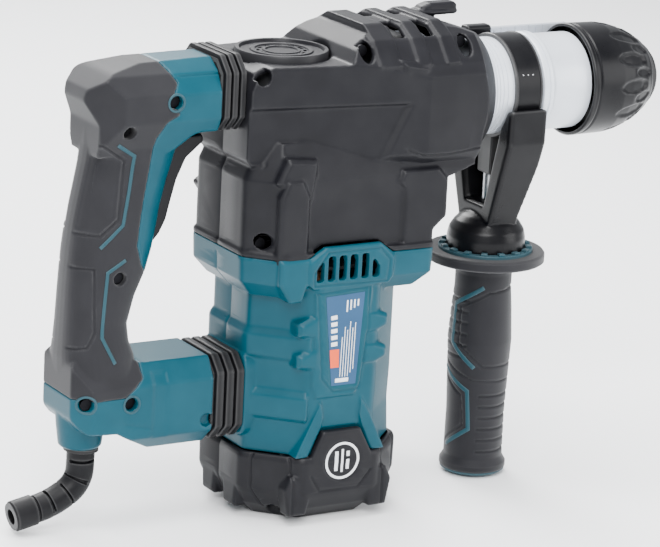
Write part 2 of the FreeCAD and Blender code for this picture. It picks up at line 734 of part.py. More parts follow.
gear_top = gear_floor + gear_width
crank_radius = 6
HALF_CRANK_PITCH = 180 / CRANK_TEETH
HALF_LAYSHAFT_PITCH = 180 / LAYSHAFT_TEETH
keep(spur_gear(CRANK_TEETH, crank_radius + seat, gear_floor, gear_top, -crank_x, HALF_CRANK_PITCH), "crank_gear")
web_low, web_high = axis_z - 20, axis_z - 12
pin_gap = 0.5
pin_radius = 4
keep(turned("z", [
    (case_floor + 4, 0), (case_floor + 4, crank_radius), (gear_top + 2, crank_radius), (gear_top + 2, 10),
    (web_low, 10), (web_low, crank_throw + 6), (web_high, crank_throw + 6), (web_high, 0),
], -crank_x), "crank_shaft")
pin_x = -crank_x - crank_throw
wrist_x = pin_x + rod_length
rod_half = 5
eye, small_eye = 8.5, 6.5
wrist_radius = 3
rod_bar = box(pin_x, wrist_x, -rod_half, rod_half, axis_z - 3, axis_z + 3)
keep(cut(
    fuse(rod_bar, cylinder("z", eye, axis_z - 6, axis_z + 6, pin_x),
         cylinder("z", small_eye, axis_z - rod_half, axis_z + rod_half, wrist_x)),
    cylinder("z", pin_radius + seat, axis_z - 7, axis_z + 7, pin_x),
    cylinder("z", wrist_radius + running, axis_z - 7, axis_z + 7, wrist_x)), "connecting_rod")
keep(cylinder("z", pin_radius, web_high + pin_gap, axis_z + 7, pin_x), "crank_pin")

slide_gap = 0.1
piston_radius = cylinder_bore - slide_gap
piston_start = wrist_x - 10
ring_groove = 2
groove_x = piston_start + piston_length - 6
piston_body = turned("x", [
    (piston_start, 0), (piston_start, piston_radius), (groove_x, piston_radius),
    (groove_x, piston_radius - ring_groove), (groove_x + 3, piston_radius - ring_groove),
    (groove_x + 3, piston_radius), (piston_start + piston_length, piston_radius),
    (piston_start + piston_length, 0),
], z=axis_z)
keep(cut(piston_body,
         box(piston_start - 1, wrist_x + small_eye + 1.5, -9, 9, axis_z - 7, axis_z + 7),
         cylinder("z", wrist_radius + seat, axis_z - 13, axis_z + 13, wrist_x)), "piston")
keep(cylinder("z", wrist_radius, axis_z - 12.5, axis_z + 12.5, wrist_x), "wrist_pin")
keep(ring("x", piston_radius - ring_groove + seat, piston_radius, groove_x + seat, groove_x + 3 - seat,
          z=axis_z), "piston_ring")

# ---- striker, spindle and chuck -----------------------------------------------------------------

striker_start, striker_length, striker_nose = 64, 30, 7
keep(turned("x", [
    (striker_start, 0), (striker_start, piston_radius), (striker_start + striker_length, piston_radius),
    (striker_start + striker_length, striker_nose), (striker_start + striker_length + 6, striker_nose),
    (striker_start + striker_length + 6, 0),
], z=axis_z), "striker")
anvil_bore = 9.1
anvil_start = cylinder_end + 4
shank_end = nose_end - shank_depth
keep(turned("x", [
    (anvil_start, 0), (anvil_start, anvil_bore - slide_gap), (shank_end - 14, anvil_bore - slide_gap),
    (shank_end - 9, 6), (shank_end - 9, 0),
], z=axis_z), "beat_piece")
ball_x = nose_end - 42
ball_radius, ball_place = 3.4, 8.9
ball_holes = [cylinder("z", ball_radius + 0.1, axis_z + 5.5, axis_z + 14, ball_x),
              cylinder("z", ball_radius + 0.1, axis_z - 14, axis_z - 5.5, ball_x)]
spindle = turned("x", [
    (spindle_start, cylinder_bore), (spindle_start, cylinder_radius), (cylinder_end + 6, cylinder_radius),
    (cylinder_end + 6, spindle_radius), (nose_end - 3, spindle_radius), (nose_end, spindle_radius - 1.5),
    (nose_end, shank_radius), (shank_end, shank_radius), (shank_end - 2, anvil_bore),
    (cylinder_end, anvil_bore), (cylinder_end, cylinder_bore),
], z=axis_z)
keep(cut(spindle, *ball_holes), "spindle")
keep(group(ball(ball_radius, ball_x, 0, axis_z + ball_place), ball(ball_radius, ball_x, 0, axis_z - ball_place)),
     "locking_balls")
keep(turned("x", [
    (chuck_end + 1.5, spindle_radius + seat), (nose_end - 4, spindle_radius + seat), (nose_end - 4, 17),
    (chuck_end + 4, 20), (chuck_end + 1.5, 20),
], z=axis_z), "dust_cap")
skirt_bore = neck_radius + 3
sleeve_bore = spindle_radius + 0.5
spring_start = ball_x + 8
keep(turned("x", [
    (chuck_start, skirt_bore), (chuck_start, chuck_radius), (chuck_start + 24, chuck_radius),
    (chuck_start + 37, chuck_radius - 4), (chuck_end - 2.5, chuck_radius - 10), (chuck_end, chuck_radius - 12),
    (chuck_end, sleeve_bore + 3.5), (spring_start, sleeve_bore + 3.5), (spring_start, sleeve_bore),
    (ball_x - 5, sleeve_bore), (ball_x - 5, skirt_bore),
], z=axis_z), "chuck_sleeve")
keep(ring("x", spindle_radius + seat, spindle_radius + 2.5, spring_start + 0.3, chuck_end + 1, z=axis_z),
     "chuck_spring")

# ---- layshaft and bevel drive -------------------------------------------------------------------

bevel_module = 1.25
bevel_radius = bevel_module * BEVEL_TEETH / 2
crown_radius = bevel_module * RING_TEETH / 2
mesh_x = layshaft_x + bevel_radius
mesh_z = axis_z - crown_radius
FACE_SHARE = 0.22                              # bevel face width as a share of the cone distance
small = 1 - FACE_SHARE


def bevel_tooth(body, stations, count, axis_role):
    """One tapered tooth lofted between two outlines, repeated round an axis of the body."""
    sketches = []
    for offset, corners in stations:
        sketch = sketch_on(body, "XY", offset)
        draw(sketch, corners)
        sketches.append(sketch)
    loft = body.newObject("PartDesign::AdditiveLoft", "Tooth")
    loft.Profile = sketches[0]
    loft.Sections = sketches[1:]
    loft.Ruled = True
    return polar(body, axis_role, count, loft)


def bevel_outline(root, tip, scale, sign):
    """Outline of one bevel tooth, from its root to its tip along the sketch's first axis."""
    root_half = bevel_module * 0.95 * scale
    tip_half = bevel_module * 0.32 * scale
    corners = [(root, -root_half), (tip, -tip_half), (tip, tip_half), (root, root_half)]
    return corners if sign > 0 else corners[::-1]


layshaft_radius = 5
pinion_low = mesh_z - 1
pinion_high = axis_z - crown_radius * small
layshaft_drive = turned("z", [
    (case_floor + 4, 0), (case_floor + 4, layshaft_radius), (pinion_low, layshaft_radius),
    (pinion_low, bevel_radius - 1.3), (pinion_high, (bevel_radius - 1.3) * small), (pinion_high, 0),
])
bevel_tooth(layshaft_drive, [
    (pinion_low, bevel_outline(bevel_radius - 2, bevel_radius + 1.0, 1, 1)),
    (pinion_high, bevel_outline((bevel_radius - 2) * small, (bevel_radius + 1.0) * small, small, 1)),
], BEVEL_TEETH, "Z_Axis")
place(layshaft_drive, layshaft_x, 0, 0)
keep(layshaft_drive, "bevel_pinion")
keep(spur_gear(LAYSHAFT_TEETH, layshaft_radius + seat, gear_floor, gear_top, layshaft_x, HALF_LAYSHAFT_PITCH),
     "layshaft_gear")

ring_back = mesh_x + 10
root_shift, tip_shift = 1.3, 0.9
crown = turned("x", [
    (ring_back, cylinder_radius + seat), (ring_back, crown_radius + 1.5), (mesh_x + root_shift, crown_radius + 1.5),
    (mesh_x + root_shift, crown_radius),
    (layshaft_x + (bevel_radius + root_shift) * small, crown_radius * small),
    (layshaft_x + (bevel_radius + root_shift) * small, cylinder_radius + seat),
])
bevel_tooth(crown, [
    (crown_radius, bevel_outline(mesh_x + root_shift + 0.8, mesh_x - tip_shift, 1, -1)),
    (crown_radius * small, bevel_outline(layshaft_x + (bevel_radius + root_shift + 0.8) * small,
                                         layshaft_x + (bevel_radius - tip_shift) * small, small, -1)),
], RING_TEETH, "X_Axis")
HALF_RING_PITCH = 180 / RING_TEETH
keep(place(crown, 0, 0, axis_z, Rotation(Vector(1, 0, 0), HALF_RING_PITCH)), "bevel_ring_gear")

# ---- side handle --------------------------------------------------------------------------------

band_inner = neck_radius + running
band_outer = band_inner + band_wall
stud_radius = 4
lug_low = axis_z - 54
lug = box(grip_x - 5, grip_x + 5, -7, 7, lug_low, axis_z - band_inner - 1)
keep(fuse(ring("x", band_inner, band_outer, band_start, band_end, z=axis_z), lug), "clamp_band")
keep(cylinder("z", stud_radius, flange_top - 60, lug_low, grip_x), "clamp_stud")
yoke_start, yoke_end = grip_x - 10.2, grip_x + 15.8
cup_low = flange_top + 0.4
cup_high = cup_low + 18
yoke_arms = prism("YZ", [
    (-yoke_half, axis_z - 2), (-yoke_half, axis_z - 27), (-19, cup_high), (19, cup_high),
    (yoke_half, axis_z - 27), (yoke_half, axis_z - 2),
], yoke_start, yoke_end)
yoke_window = prism("YZ", [(-22, axis_z - 20), (-9, cup_high + 12), (9, cup_high + 12), (22, axis_z - 20)],
                    yoke_start - 1, yoke_end + 1)
cup = turned("z", [
    (cup_low, 0), (cup_low, cup_radius), (cup_low + 12, cup_radius), (cup_high, cup_radius - 3),
    (cup_high + 6, cup_radius - 9), (cup_high + 6, 0),
], grip_x)
band_clear = 0.3
keep(cut(fuse(yoke_arms, cup), yoke_window,
         cylinder("x", band_outer + band_clear, yoke_start - 1, yoke_end + 1, z=axis_z),
         cylinder("z", stud_radius + seat, cup_low - 1, cup_high + 20, grip_x)), "handle_yoke")

rod_y, rod_z, rod_wide, rod_tall = 31.5, 266, 3, 8
clip_start, clip_end = grip_x - 4, grip_x + 13
clip_block = box(clip_start, clip_end, rod_y - 4, rod_y + 5, rod_z - 8, rod_z + 6)
keep(cut(clip_block,
         box(clip_start - 1, clip_end + 1, rod_y - rod_wide / 2 - running, rod_y + rod_wide / 2 + running,
             rod_z - rod_tall / 2 - running, rod_z + rod_tall / 2 + running),
         cylinder("x", band_outer + seat, clip_start - 1, clip_end + 1, z=axis_z)), "rod_clip")
keep(box(rod_start, rod_end, rod_y - rod_wide / 2, rod_y + rod_wide / 2, rod_z - rod_tall / 2,
         rod_z + rod_tall / 2), "depth_rod")

grip_bore = stud_radius + 0.3
flange_low = flange_top - 6.5
grip_end = 3.4
side_grip = turned("z", [
    (grip_end, 0), (grip_end, grip_radius + 2.3), (grip_end + 5, grip_radius + 2.3), (grip_end + 8, grip_radius),
    (40, grip_radius), (85, grip_radius + 1.5), (118, grip_radius - 1), (flange_low - 1, grip_radius),
    (flange_low, flange_radius), (flange_top, flange_radius), (flange_top, grip_bore),
    (flange_top - 70, grip_bore), (flange_top - 70, 0),
], grip_x)
keep(side_grip, "side_grip")
keep(turned("z", [
    (0.8, 0), (0.8, grip_radius), (grip_end - 0.6, grip_radius + 1.6), (grip_end, grip_radius + 1.6), (grip_end, 0),
], grip_x), "grip_cap")
keep(ring("z", cup_radius + 0.7, cup_radius + 4.8, flange_top, flange_top + 3.4, grip_x), "lock_ring")

# ---- rear handle --------------------------------------------------------------------------------

arm_rear = 140
upper_arm = common(
    prism("XZ", [(-arm_front, arm_bottom), (-arm_front, arm_top), (-arm_rear, arm_top), (-154, arm_top - 8),
                 (-155, arm_top - 18), (-147, arm_bottom + 2), (-147, arm_bottom - 12), (-102, arm_bottom - 12),
                 (-88, arm_bottom)], -arm_half, arm_half),
    prism("YZ", [(-arm_half, arm_bottom + 8), (-grip_half, arm_bottom - 12), (grip_half, arm_bottom - 12),
                 (arm_half, arm_bottom + 8), (arm_half, arm_top - 12), (arm_half - 10, arm_top),
                 (10 - arm_half, arm_top), (-arm_half, arm_top - 12)], -160, -arm_front))
grip_outline = [
    (-147, arm_bottom + 10), (-147, arm_bottom - 6), (-155, 179), (-158, 150), (-159, 114), (-159, foot_top - 19),
    (-118, foot_top - 19), (-122, 105), (-125, 114), (-119, 138), (-113, 152), (-110, 166), (-106, 190),
    (-99, 213), (-92, arm_bottom + 4),
]
handle_grip = chamfer(prism("XZ", grip_outline, -grip_half, grip_half), 4, side_edges(grip_half))
boss_end = 159
lower_arm = common(
    prism("XZ", [(-foot_front, foot_bottom), (-foot_front, foot_top), (-118, foot_top), (-140, foot_top + 6),
                 (-boss_end, foot_top + 6), (-boss_end, foot_bottom + 4), (-156, foot_bottom + 1),
                 (-132, foot_bottom + 1), (-130, 62), (-122, 60), (-108, foot_bottom)], -arm_half, arm_half),
    prism("YZ", [(10 - arm_half, foot_bottom), (arm_half - 10, foot_bottom), (arm_half, foot_bottom + 10),
                 (arm_half, foot_top - 14), (arm_half - 10, foot_top + 6), (10 - arm_half, foot_top + 6),
                 (-arm_half, foot_top - 14), (-arm_half, foot_bottom + 10)], -boss_end, -foot_front))
handle_wall = 3.2
arm_hollow = box(-142, -arm_front - handle_wall, -18, 18, arm_bottom + 5, arm_top - handle_wall - 2)
foot_hollow = box(handle_wall - boss_end, -foot_front - handle_wall, -18, 18, 66, foot_top - 6)
foot_well = box(-120, -foot_front - handle_wall, -18, 18, foot_bottom + handle_wall + 1, 70)
grip_hollow = prism("XZ", [
    (-142, arm_bottom + 8), (-143, arm_bottom - 6), (-151, 179), (-154, 150), (-155, 114), (-155, foot_top - 14),
    (-130, foot_top - 14), (-130, 114), (-124, 138), (-118, 160), (-116, arm_bottom + 8),
], -12, 12)
trigger_half = 9
trigger_slot = prism("XZ", [(-134, 167), (-103, 167), (-72, 228), (-72, arm_bottom - 1), (-96, arm_bottom + 2),
                            (-134, 226)], -trigger_half - 0.5, trigger_half + 0.5)
handle_places = [(-103, 252, -20, 22), (-130, 150, -11, 13.5), (-152, 80, -20, 22), (-124.6, 78, -20, 22)]
handle_bosses, handle_holes, handle_screws = screw_places(handle_places)
pivot_x, pivot_z, pivot_radius = 113, 172, 2.5
guide_clear = guide_radius + slide_gap
handle_shell = cut(
    fuse(cut(fuse(upper_arm, handle_grip, lower_arm), arm_hollow, foot_hollow, foot_well, grip_hollow),
         *handle_bosses),
    trigger_slot, *handle_holes,
    cylinder("x", guide_clear, -arm_front - handle_wall - 2, -arm_front + 1, z=guide_z),
    cylinder("x", guide_clear, -foot_front - handle_wall - 2, -foot_front + 1, z=low_guide_z),
    cylinder("y", pivot_radius + running, -trigger_half - 3, trigger_half + 3, -pivot_x, z=pivot_z),
    cylinder("z", cord_bore + 2.4, foot_bottom - 2, 70, -143))
halves(handle_shell, "rear_handle_left", "rear_handle_right")
keep(group(*handle_screws), "handle_screws")

trigger_blade = chamfer(prism("XZ", [
    (-117, 170), (-108, 169), (-105, 176), (-101, 190), (-97, 203), (-91, 216), (-80, 227), (-84, 230),
    (-98, 224), (-106, 204), (-111, 186),
], -trigger_half, trigger_half), 1.2, side_edges(trigger_half))
keep(fuse(trigger_blade, cylinder("y", pivot_radius, -trigger_half - 2.5, trigger_half + 2.5, -pivot_x, z=pivot_z)),
     "trigger")
keep(box(-133, -122, -9, 9, 176, 214), "switch")

guide_reach = 91
upper_guide = fuse(cylinder("x", guide_radius, -guide_reach, -cover_rear + wall + 0.1, z=guide_z),
                   cylinder("x", 6, -cover_rear + wall + seat, -case_rear - 0.2, z=guide_z))
lower_guide = fuse(cylinder("x", guide_radius, -guide_reach + 8, -motor_half + wall + 0.1, z=low_guide_z),
                   cylinder("x", 6, -motor_half + wall + seat, -motor_half + wall + 3, z=low_guide_z))
keep(group(upper_guide, lower_guide), "damper_guides")
keep(group(ring("x", guide_radius + 0.5, guide_radius + 3, -arm_front + 0.3, -cover_rear - 0.3, z=guide_z),
           ring("x", guide_radius + 0.5, guide_radius + 3, -foot_front + 0.3, -block_rear - 0.3, z=low_guide_z)),
     "damper_springs")


def bellows(rear, front, low, high, node):
    """A rubber sleeve between the handle and the casing, with three ribs."""
    half = arm_half + 1
    span = (front - rear) / 5

    def section(grow):
        edge, bevel = half + grow, 10 + grow / 2
        return [(-edge, low + bevel - grow), (bevel - edge, low - grow), (edge - bevel, low - grow),
                (edge, low + bevel - grow), (edge, high - bevel + grow), (edge - bevel, high + grow),
                (bevel - edge, high + grow), (-edge, high - bevel + grow)]

    slices = [prism("YZ", section(0 if i % 2 == 0 else -2), rear + span * i, rear + span * (i + 1))
              for i in range(5)]
    keep(cut(fuse(*slices), prism("YZ", section(-5), rear - 1, front + 1)), node)


bellows(-arm_front + 0.2, -cover_rear - 0.2, arm_bottom - 1, arm_top + 1, "upper_bellows")
bellows(-foot_front + 0.2, -block_rear - 0.2, foot_bottom + 2, foot_top, "lower_bellows")


# ---- cable guard --------------------------------------------------------------------------------

def rounded_path(points, share=0.45):
    """Straight runs joined by tangent arcs through hand-chosen points in the middle plane."""
    edges, start = [], points[0]
    for i in range(1, len(points) - 1):
        back, ahead = points[i - 1] - points[i], points[i + 1] - points[i]
        reach = share * min(back.Length, ahead.Length)
        back.normalize()
        ahead.normalize()
        enter, leave = points[i] + back * reach, points[i] + ahead * reach
        half = back.getAngle(ahead) / 2
        depth = reach / math.cos(half) - reach * math.tan(half)
        middle = points[i] + (back + ahead).normalize() * depth
        edges.append(Part.LineSegment(start, enter).toShape())
        edges.append(Part.Arc(enter, middle, leave).toShape())
        start = leave
    edges.append(Part.LineSegment(start, points[-1]).toShape())
    return Part.Wire(edges)


def tube(path, radius):
    start = path.Edges[0]
    ring_edge = Part.Circle(start.valueAt(start.FirstParameter), start.tangentAt(start.FirstParameter), radius)
    profile = Part.Wire(ring_edge.toShape())
    return path.makePipeShell([profile], True, False)


guard_points = [Vector(-143, 0, number(foot_bottom) + 0.8), Vector(-143.5, 0, 26), Vector(-161, 0, 15),
                Vector(-186, 0, 10.2)]
guard_path = rounded_path(guard_points)
outer_tube = tube(guard_path, number(guard_radius))
last_edge = guard_path.Edges[-1]
tip = last_edge.valueAt(last_edge.LastParameter)
tip_direction = last_edge.tangentAt(last_edge.LastParameter)
collar_length, collar_radius = 15, number(guard_radius) + 0.9
collar = Part.makeCylinder(collar_radius, collar_length, tip - tip_direction * collar_length, tip_direction)
root_flange = Part.makeCylinder(number(guard_radius) + 2.2, 5, guard_points[0] - Vector(0, 0, 5))
inner_path = rounded_path([guard_points[0] + Vector(0, 0, 1)] + guard_points[1:-1] + [tip + tip_direction])
guard_shape = outer_tube.fuse([collar, root_flange]).cut(tube(inner_path, number(cord_bore))).removeSplitter()
guard = doc.addObject("Part::Feature", "Guard")
guard.Shape = guard_shape
keep(guard, "cable_guard")

# ---- check and write ----------------------------------------------------------------------------

doc.recompute()
for thing in doc.Objects:
    if "Invalid" in thing.State or "Error" in thing.State:
        raise RuntimeError("%s (%s) failed: %s" % (thing.Name, thing.Label, thing.State))
os.makedirs("parts", exist_ok=True)
for part in subparts:
    shape = part.Shape
    if shape.isNull() or not shape.isValid():
        raise RuntimeError("%s has no valid shape" % part.Label)
    shape.exportStep("parts/%s.step" % part.Label)
    print("%-22s solids %d  volume %.0f" % (part.Label, len(shape.Solids), shape.Volume))
print("sub-parts:", len(subparts))
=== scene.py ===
"""A rotary demolition hammer's visible pieces, modelled round its fixed frame and laid out as an add-on."""
import math

import bmesh
import bpy
import numpy as np
from bpy.props import FloatProperty, FloatVectorProperty, PointerProperty
from bpy.types import Operator, Panel, PropertyGroup
from mathutils import Matrix, Vector
from mathutils.bvhtree import BVHTree


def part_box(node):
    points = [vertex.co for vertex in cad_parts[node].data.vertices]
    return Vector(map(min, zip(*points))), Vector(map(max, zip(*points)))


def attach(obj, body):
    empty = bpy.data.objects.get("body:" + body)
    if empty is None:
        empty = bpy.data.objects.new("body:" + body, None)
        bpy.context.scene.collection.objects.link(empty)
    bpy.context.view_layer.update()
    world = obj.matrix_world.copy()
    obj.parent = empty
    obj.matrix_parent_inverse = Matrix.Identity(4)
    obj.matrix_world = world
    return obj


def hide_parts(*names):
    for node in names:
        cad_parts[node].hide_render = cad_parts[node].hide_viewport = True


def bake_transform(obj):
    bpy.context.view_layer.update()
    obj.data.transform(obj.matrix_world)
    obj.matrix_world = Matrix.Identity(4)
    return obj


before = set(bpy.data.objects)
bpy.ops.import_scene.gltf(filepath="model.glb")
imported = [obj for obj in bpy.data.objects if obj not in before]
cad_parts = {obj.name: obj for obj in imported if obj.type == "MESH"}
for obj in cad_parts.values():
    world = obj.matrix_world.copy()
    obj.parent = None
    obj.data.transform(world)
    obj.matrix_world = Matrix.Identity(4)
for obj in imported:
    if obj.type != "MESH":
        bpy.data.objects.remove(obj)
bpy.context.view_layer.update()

bl_info = {
    "name": "Demolition hammer",
    "version": (1, 0, 0),
    "blender": (4, 5, 0),
    "location": "3D View > Sidebar > Hammer",
    "description": "Makes the visible pieces of a rotary demolition hammer round its frame",
    "category": "Add Mesh",
}

MM = 0.001


def centre_of(node):
    """The middle of the node's box, in metres."""
    low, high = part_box(node)
    return (low + high) / 2


def corners_of(node):
    """The node's low and high corner in millimetres."""
    return (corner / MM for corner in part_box(node))


def span_of(node, axis):
    """The node's low and high end along an axis, in millimetres."""
    return (getattr(corner, axis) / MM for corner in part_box(node))


# ---- sizes and colours that a user would change --------------------------------------------------

def length(name, description, default):
    """A size that a user can change, in metres."""
    return FloatProperty(name=name, description=description, default=default, unit="LENGTH", precision=5)


def colour(name, description, default):
    """A linear colour that a user can change."""
    return FloatVectorProperty(name=name, description=description, default=default, size=3, min=0, max=1,
                               subtype="COLOR")


class HammerSizes(PropertyGroup):
    axis_height: length("Axis height", "Height of the hammer axis above the foot", centre_of("spindle").z)
    seam_height: length("Seam height", "Where the gear cover meets the motor housing",
                        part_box("motor_housing")[1].z)
    cap_height: length("Cap height", "Where the motor cap meets the motor housing",
                       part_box("stator")[0].z - 0.033)
    grip_station: length("Side grip station", "Side grip axis in front of the motor axis",
                         centre_of("side_grip").x)
    skin_detail: length("Skin detail", "Edge length of the moulded skins' mesh", 0.0008)
    wall: length("Wall", "Thickness of the moulded walls", 0.003)
    stripe_width: length("Stripe width", "Width of the thin inlaid stripes", 0.0021)
    stripe_rise: length("Stripe rise", "How far an inlaid stripe stands proud", 0.0003)
    seam_width: length("Seam width", "Width of the moulded grooves", 0.0016)
    seam_depth: length("Seam depth", "Depth of the moulded grooves", 0.0008)


class HammerColours(PropertyGroup):
    casing: colour("Casing", "Charcoal moulded casing", (0.0062, 0.0062, 0.0082))
    body: colour("Body", "Blue-green moulded body", (0.0003, 0.050, 0.074))
    grip: colour("Grip", "Charcoal rubber overmould", (0.0085, 0.0085, 0.0110))
    boot: colour("Boot", "Black rubber of the bellows and the cable guard", (0.0028, 0.0028, 0.0038))
    chuck: colour("Chuck", "Black plastic of the chuck and the yoke", (0.0022, 0.0022, 0.0032))
    trim: colour("Trim", "Blue-green inlays", (0.0003, 0.038, 0.054))
    neck: colour("Neck", "Painted metal of the neck", (0.62, 0.66, 0.72))
    label: colour("Label", "Blue-grey rating plate", (0.022, 0.070, 0.150))
    badge: colour("Badge", "Orange block on the rating plate", (0.80, 0.10, 0.03))
    print_white: colour("Print", "White bars on the plate and the cap", (0.80, 0.82, 0.84))
    floor: colour("Floor", "Plain floor", (0.93, 0.94, 0.95))


def sizes():
    """The scene's sizes, in metres."""
    return bpy.context.scene.hammer_sizes


def colours():
    """The scene's colours."""
    return bpy.context.scene.hammer_colours


def mm(value):
    """Metres as millimetres."""
    return value / MM


# ---- finishes ------------------------------------------------------------------------------------

class Wire:
    """One output socket, so that shader maths reads as an expression."""

    def __init__(self, tree, socket):
        self.tree, self.socket = tree, socket

    def maths(self, operation, *values, clamp=False):
        node = self.tree.nodes.new("ShaderNodeMath")
        node.operation, node.use_clamp = operation, clamp
        for slot, value in zip(node.inputs, values):
            feed(self.tree, slot, value)
        return Wire(self.tree, node.outputs[0])

    def __add__(self, other):
        return self.maths("ADD", self, other)

    __radd__ = __add__

    def __sub__(self, other):
        return self.maths("SUBTRACT", self, other)

    def __rsub__(self, other):
        return self.maths("SUBTRACT", other, self)

    def __mul__(self, other):
        return self.maths("MULTIPLY", self, other)

    __rmul__ = __mul__

    def clamp(self):
        return self.maths("ADD", self, 0, clamp=True)

    def between(self, low, high):
        """0 below low, 1 above high, straight in between."""
        return self.maths("MULTIPLY", self - low, 1 / (high - low), clamp=True)


def feed(tree, socket, value):
    """Links a wire to the socket, or sets the value on it."""
    if isinstance(value, Wire):
        tree.links.new(value.socket, socket)
    elif isinstance(value, (tuple, list)) and len(value) == 3 and socket.type == "RGBA":
        socket.default_value = (*value, 1)
    else:
        socket.default_value = value


class Finish:
    """One material, built from nodes."""

    def __init__(self, name, base, roughness, **plain):
        self.material = bpy.data.materials.new(name)
        self.material.use_nodes = True
        self.tree = self.material.node_tree
        self.shader = next(n for n in self.tree.nodes if n.type == "BSDF_PRINCIPLED")
        self.place = self.node("ShaderNodeTexCoord", output="Object")
        self.set("Base Color", tuple(base))
        self.set("Roughness", roughness)
        self.material.diffuse_color = (*tuple(base), 1)
        for socket, value in plain.items():
            self.set(socket.replace("_", " "), value)

    def node(self, kind, settings=None, output=0, **values):
        node = self.tree.nodes.new(kind)
        for key, value in (settings or {}).items():
            setattr(node, key, value)
        for key, value in values.items():
            slot = node.inputs[int(key[1:])] if key[1:].isdigit() else node.inputs[key.replace("_", " ")]
            feed(self.tree, slot, value)
        return Wire(self.tree, node.outputs[output])

    def set(self, socket, value):
        feed(self.tree, self.shader.inputs[socket], value)

    def noise(self, scale, detail=3, roughness=0.5, place=None):
        return self.node("ShaderNodeTexNoise", Vector=place or self.place, Scale=scale, Detail=detail,
                         Roughness=roughness)

    def stretched(self, x, y, z):
        return self.node("ShaderNodeMapping", Vector=self.place, Scale=(x, y, z))

    def mix(self, factor, first, second):
        return self.node("ShaderNodeMix", {"data_type": "RGBA"}, output=2, _0=factor, _6=first, _7=second)

    def edges(self, low=0.515, high=0.60):
        """1 on convex edges, 0 on the flats."""
        return self.node("ShaderNodeNewGeometry", output="Pointiness").between(low, high)

    def bump(self, height, strength, distance):
        self.set("Normal", self.node("ShaderNodeBump", Strength=strength, Distance=distance, Height=height))


def paler(base, amount):
    """The colour moved towards white."""
    return tuple(c + (1 - c) * amount for c in base)


def darker(base, amount):
    """The colour moved towards black."""
    return tuple(c * (1 - amount) for c in base)


def moulded(name, base, roughness, grain=2600, depth=0.00006, edge_wear_and_highlight=0.022, **plain):
    """Moulded plastic or rubber: a fine eroded grain, faint mottling, and edges paler for wear and painted
    highlight.
    """
    skin = Finish(name, base, roughness, Specular_IOR_Level=0.16, **plain)
    mottle = skin.noise(55, 4)
    fine = skin.noise(grain, 2)
    tone = skin.mix(mottle.between(0.35, 0.7), darker(base, 0.10), paler(base, 0.003))
    # Convex edges are painted paler: partly edge wear, partly a painted highlight where the edges catch the
    # light.
    skin.set("Base Color", skin.mix(skin.edges() * 0.8, tone, paler(base, edge_wear_and_highlight)))
    skin.set("Roughness", (mottle * 0.10 + fine * 0.10 + (roughness - 0.10)).clamp())
    skin.bump(fine + mottle * 0.3, 0.35, depth)
    return skin.material


def metal(name, base, roughness, stretch, brushed=0.00002, **plain):
    """Machined metal with turning or brushing marks, and darker smears of oil."""
    skin = Finish(name, base, roughness, Metallic=1.0, **plain)
    marks = skin.noise(900, 3, place=skin.stretched(*stretch))
    smear = skin.noise(38, 4)
    skin.set("Base Color", skin.mix(smear.between(0.4, 0.75), tuple(base), darker(base, 0.30)))
    skin.set("Roughness", (marks * 0.16 + smear * 0.12 + (roughness - 0.12)).clamp())
    skin.bump(marks, 0.3, brushed)
    return skin.material


def cast(name, base, roughness):
    """Sand-cast alloy: coarse skin and dull pits."""
    skin = Finish(name, base, roughness, Metallic=0.85)
    lumps = skin.noise(420, 5, 0.6)
    skin.set("Base Color", skin.mix(lumps.between(0.35, 0.7), darker(base, 0.25), tuple(base)))
    skin.set("Roughness", (lumps * 0.25 + (roughness - 0.1)).clamp())
    skin.bump(lumps, 0.5, 0.0002)
    return skin.material


def painted(name, base, roughness, turned=True):
    """Satin paint over turned metal, with faint tool marks round the axis."""
    skin = Finish(name, base, roughness, Metallic=0.15, Coat_Weight=0.35, Coat_Roughness=0.2)
    marks = skin.noise(700, 2, place=skin.stretched(1, 0.02, 0.02) if turned else skin.place)
    dust = skin.noise(70, 4)
    skin.set("Base Color", skin.mix(dust.between(0.45, 0.8), tuple(base), darker(base, 0.07)))
    skin.set("Roughness", (marks * 0.14 + dust * 0.10 + (roughness - 0.08)).clamp())
    skin.bump(marks, 0.25, 0.00004)
    return skin.material


def wound(name, base):
    """Enamelled copper wire laid in turns."""
    skin = Finish(name, base, 0.3, Metallic=0.9)
    turns = skin.node("ShaderNodeTexWave", {"bands_direction": "Z"}, Vector=skin.place, Scale=320.0,
                      Distortion=1.5)
    # Darker in the low grooves between the turns: painted shade.
    skin.set("Base Color", skin.mix(turns, darker(base, 0.45), tuple(base)))
    skin.bump(turns, 0.6, 0.0003)
    return skin.material


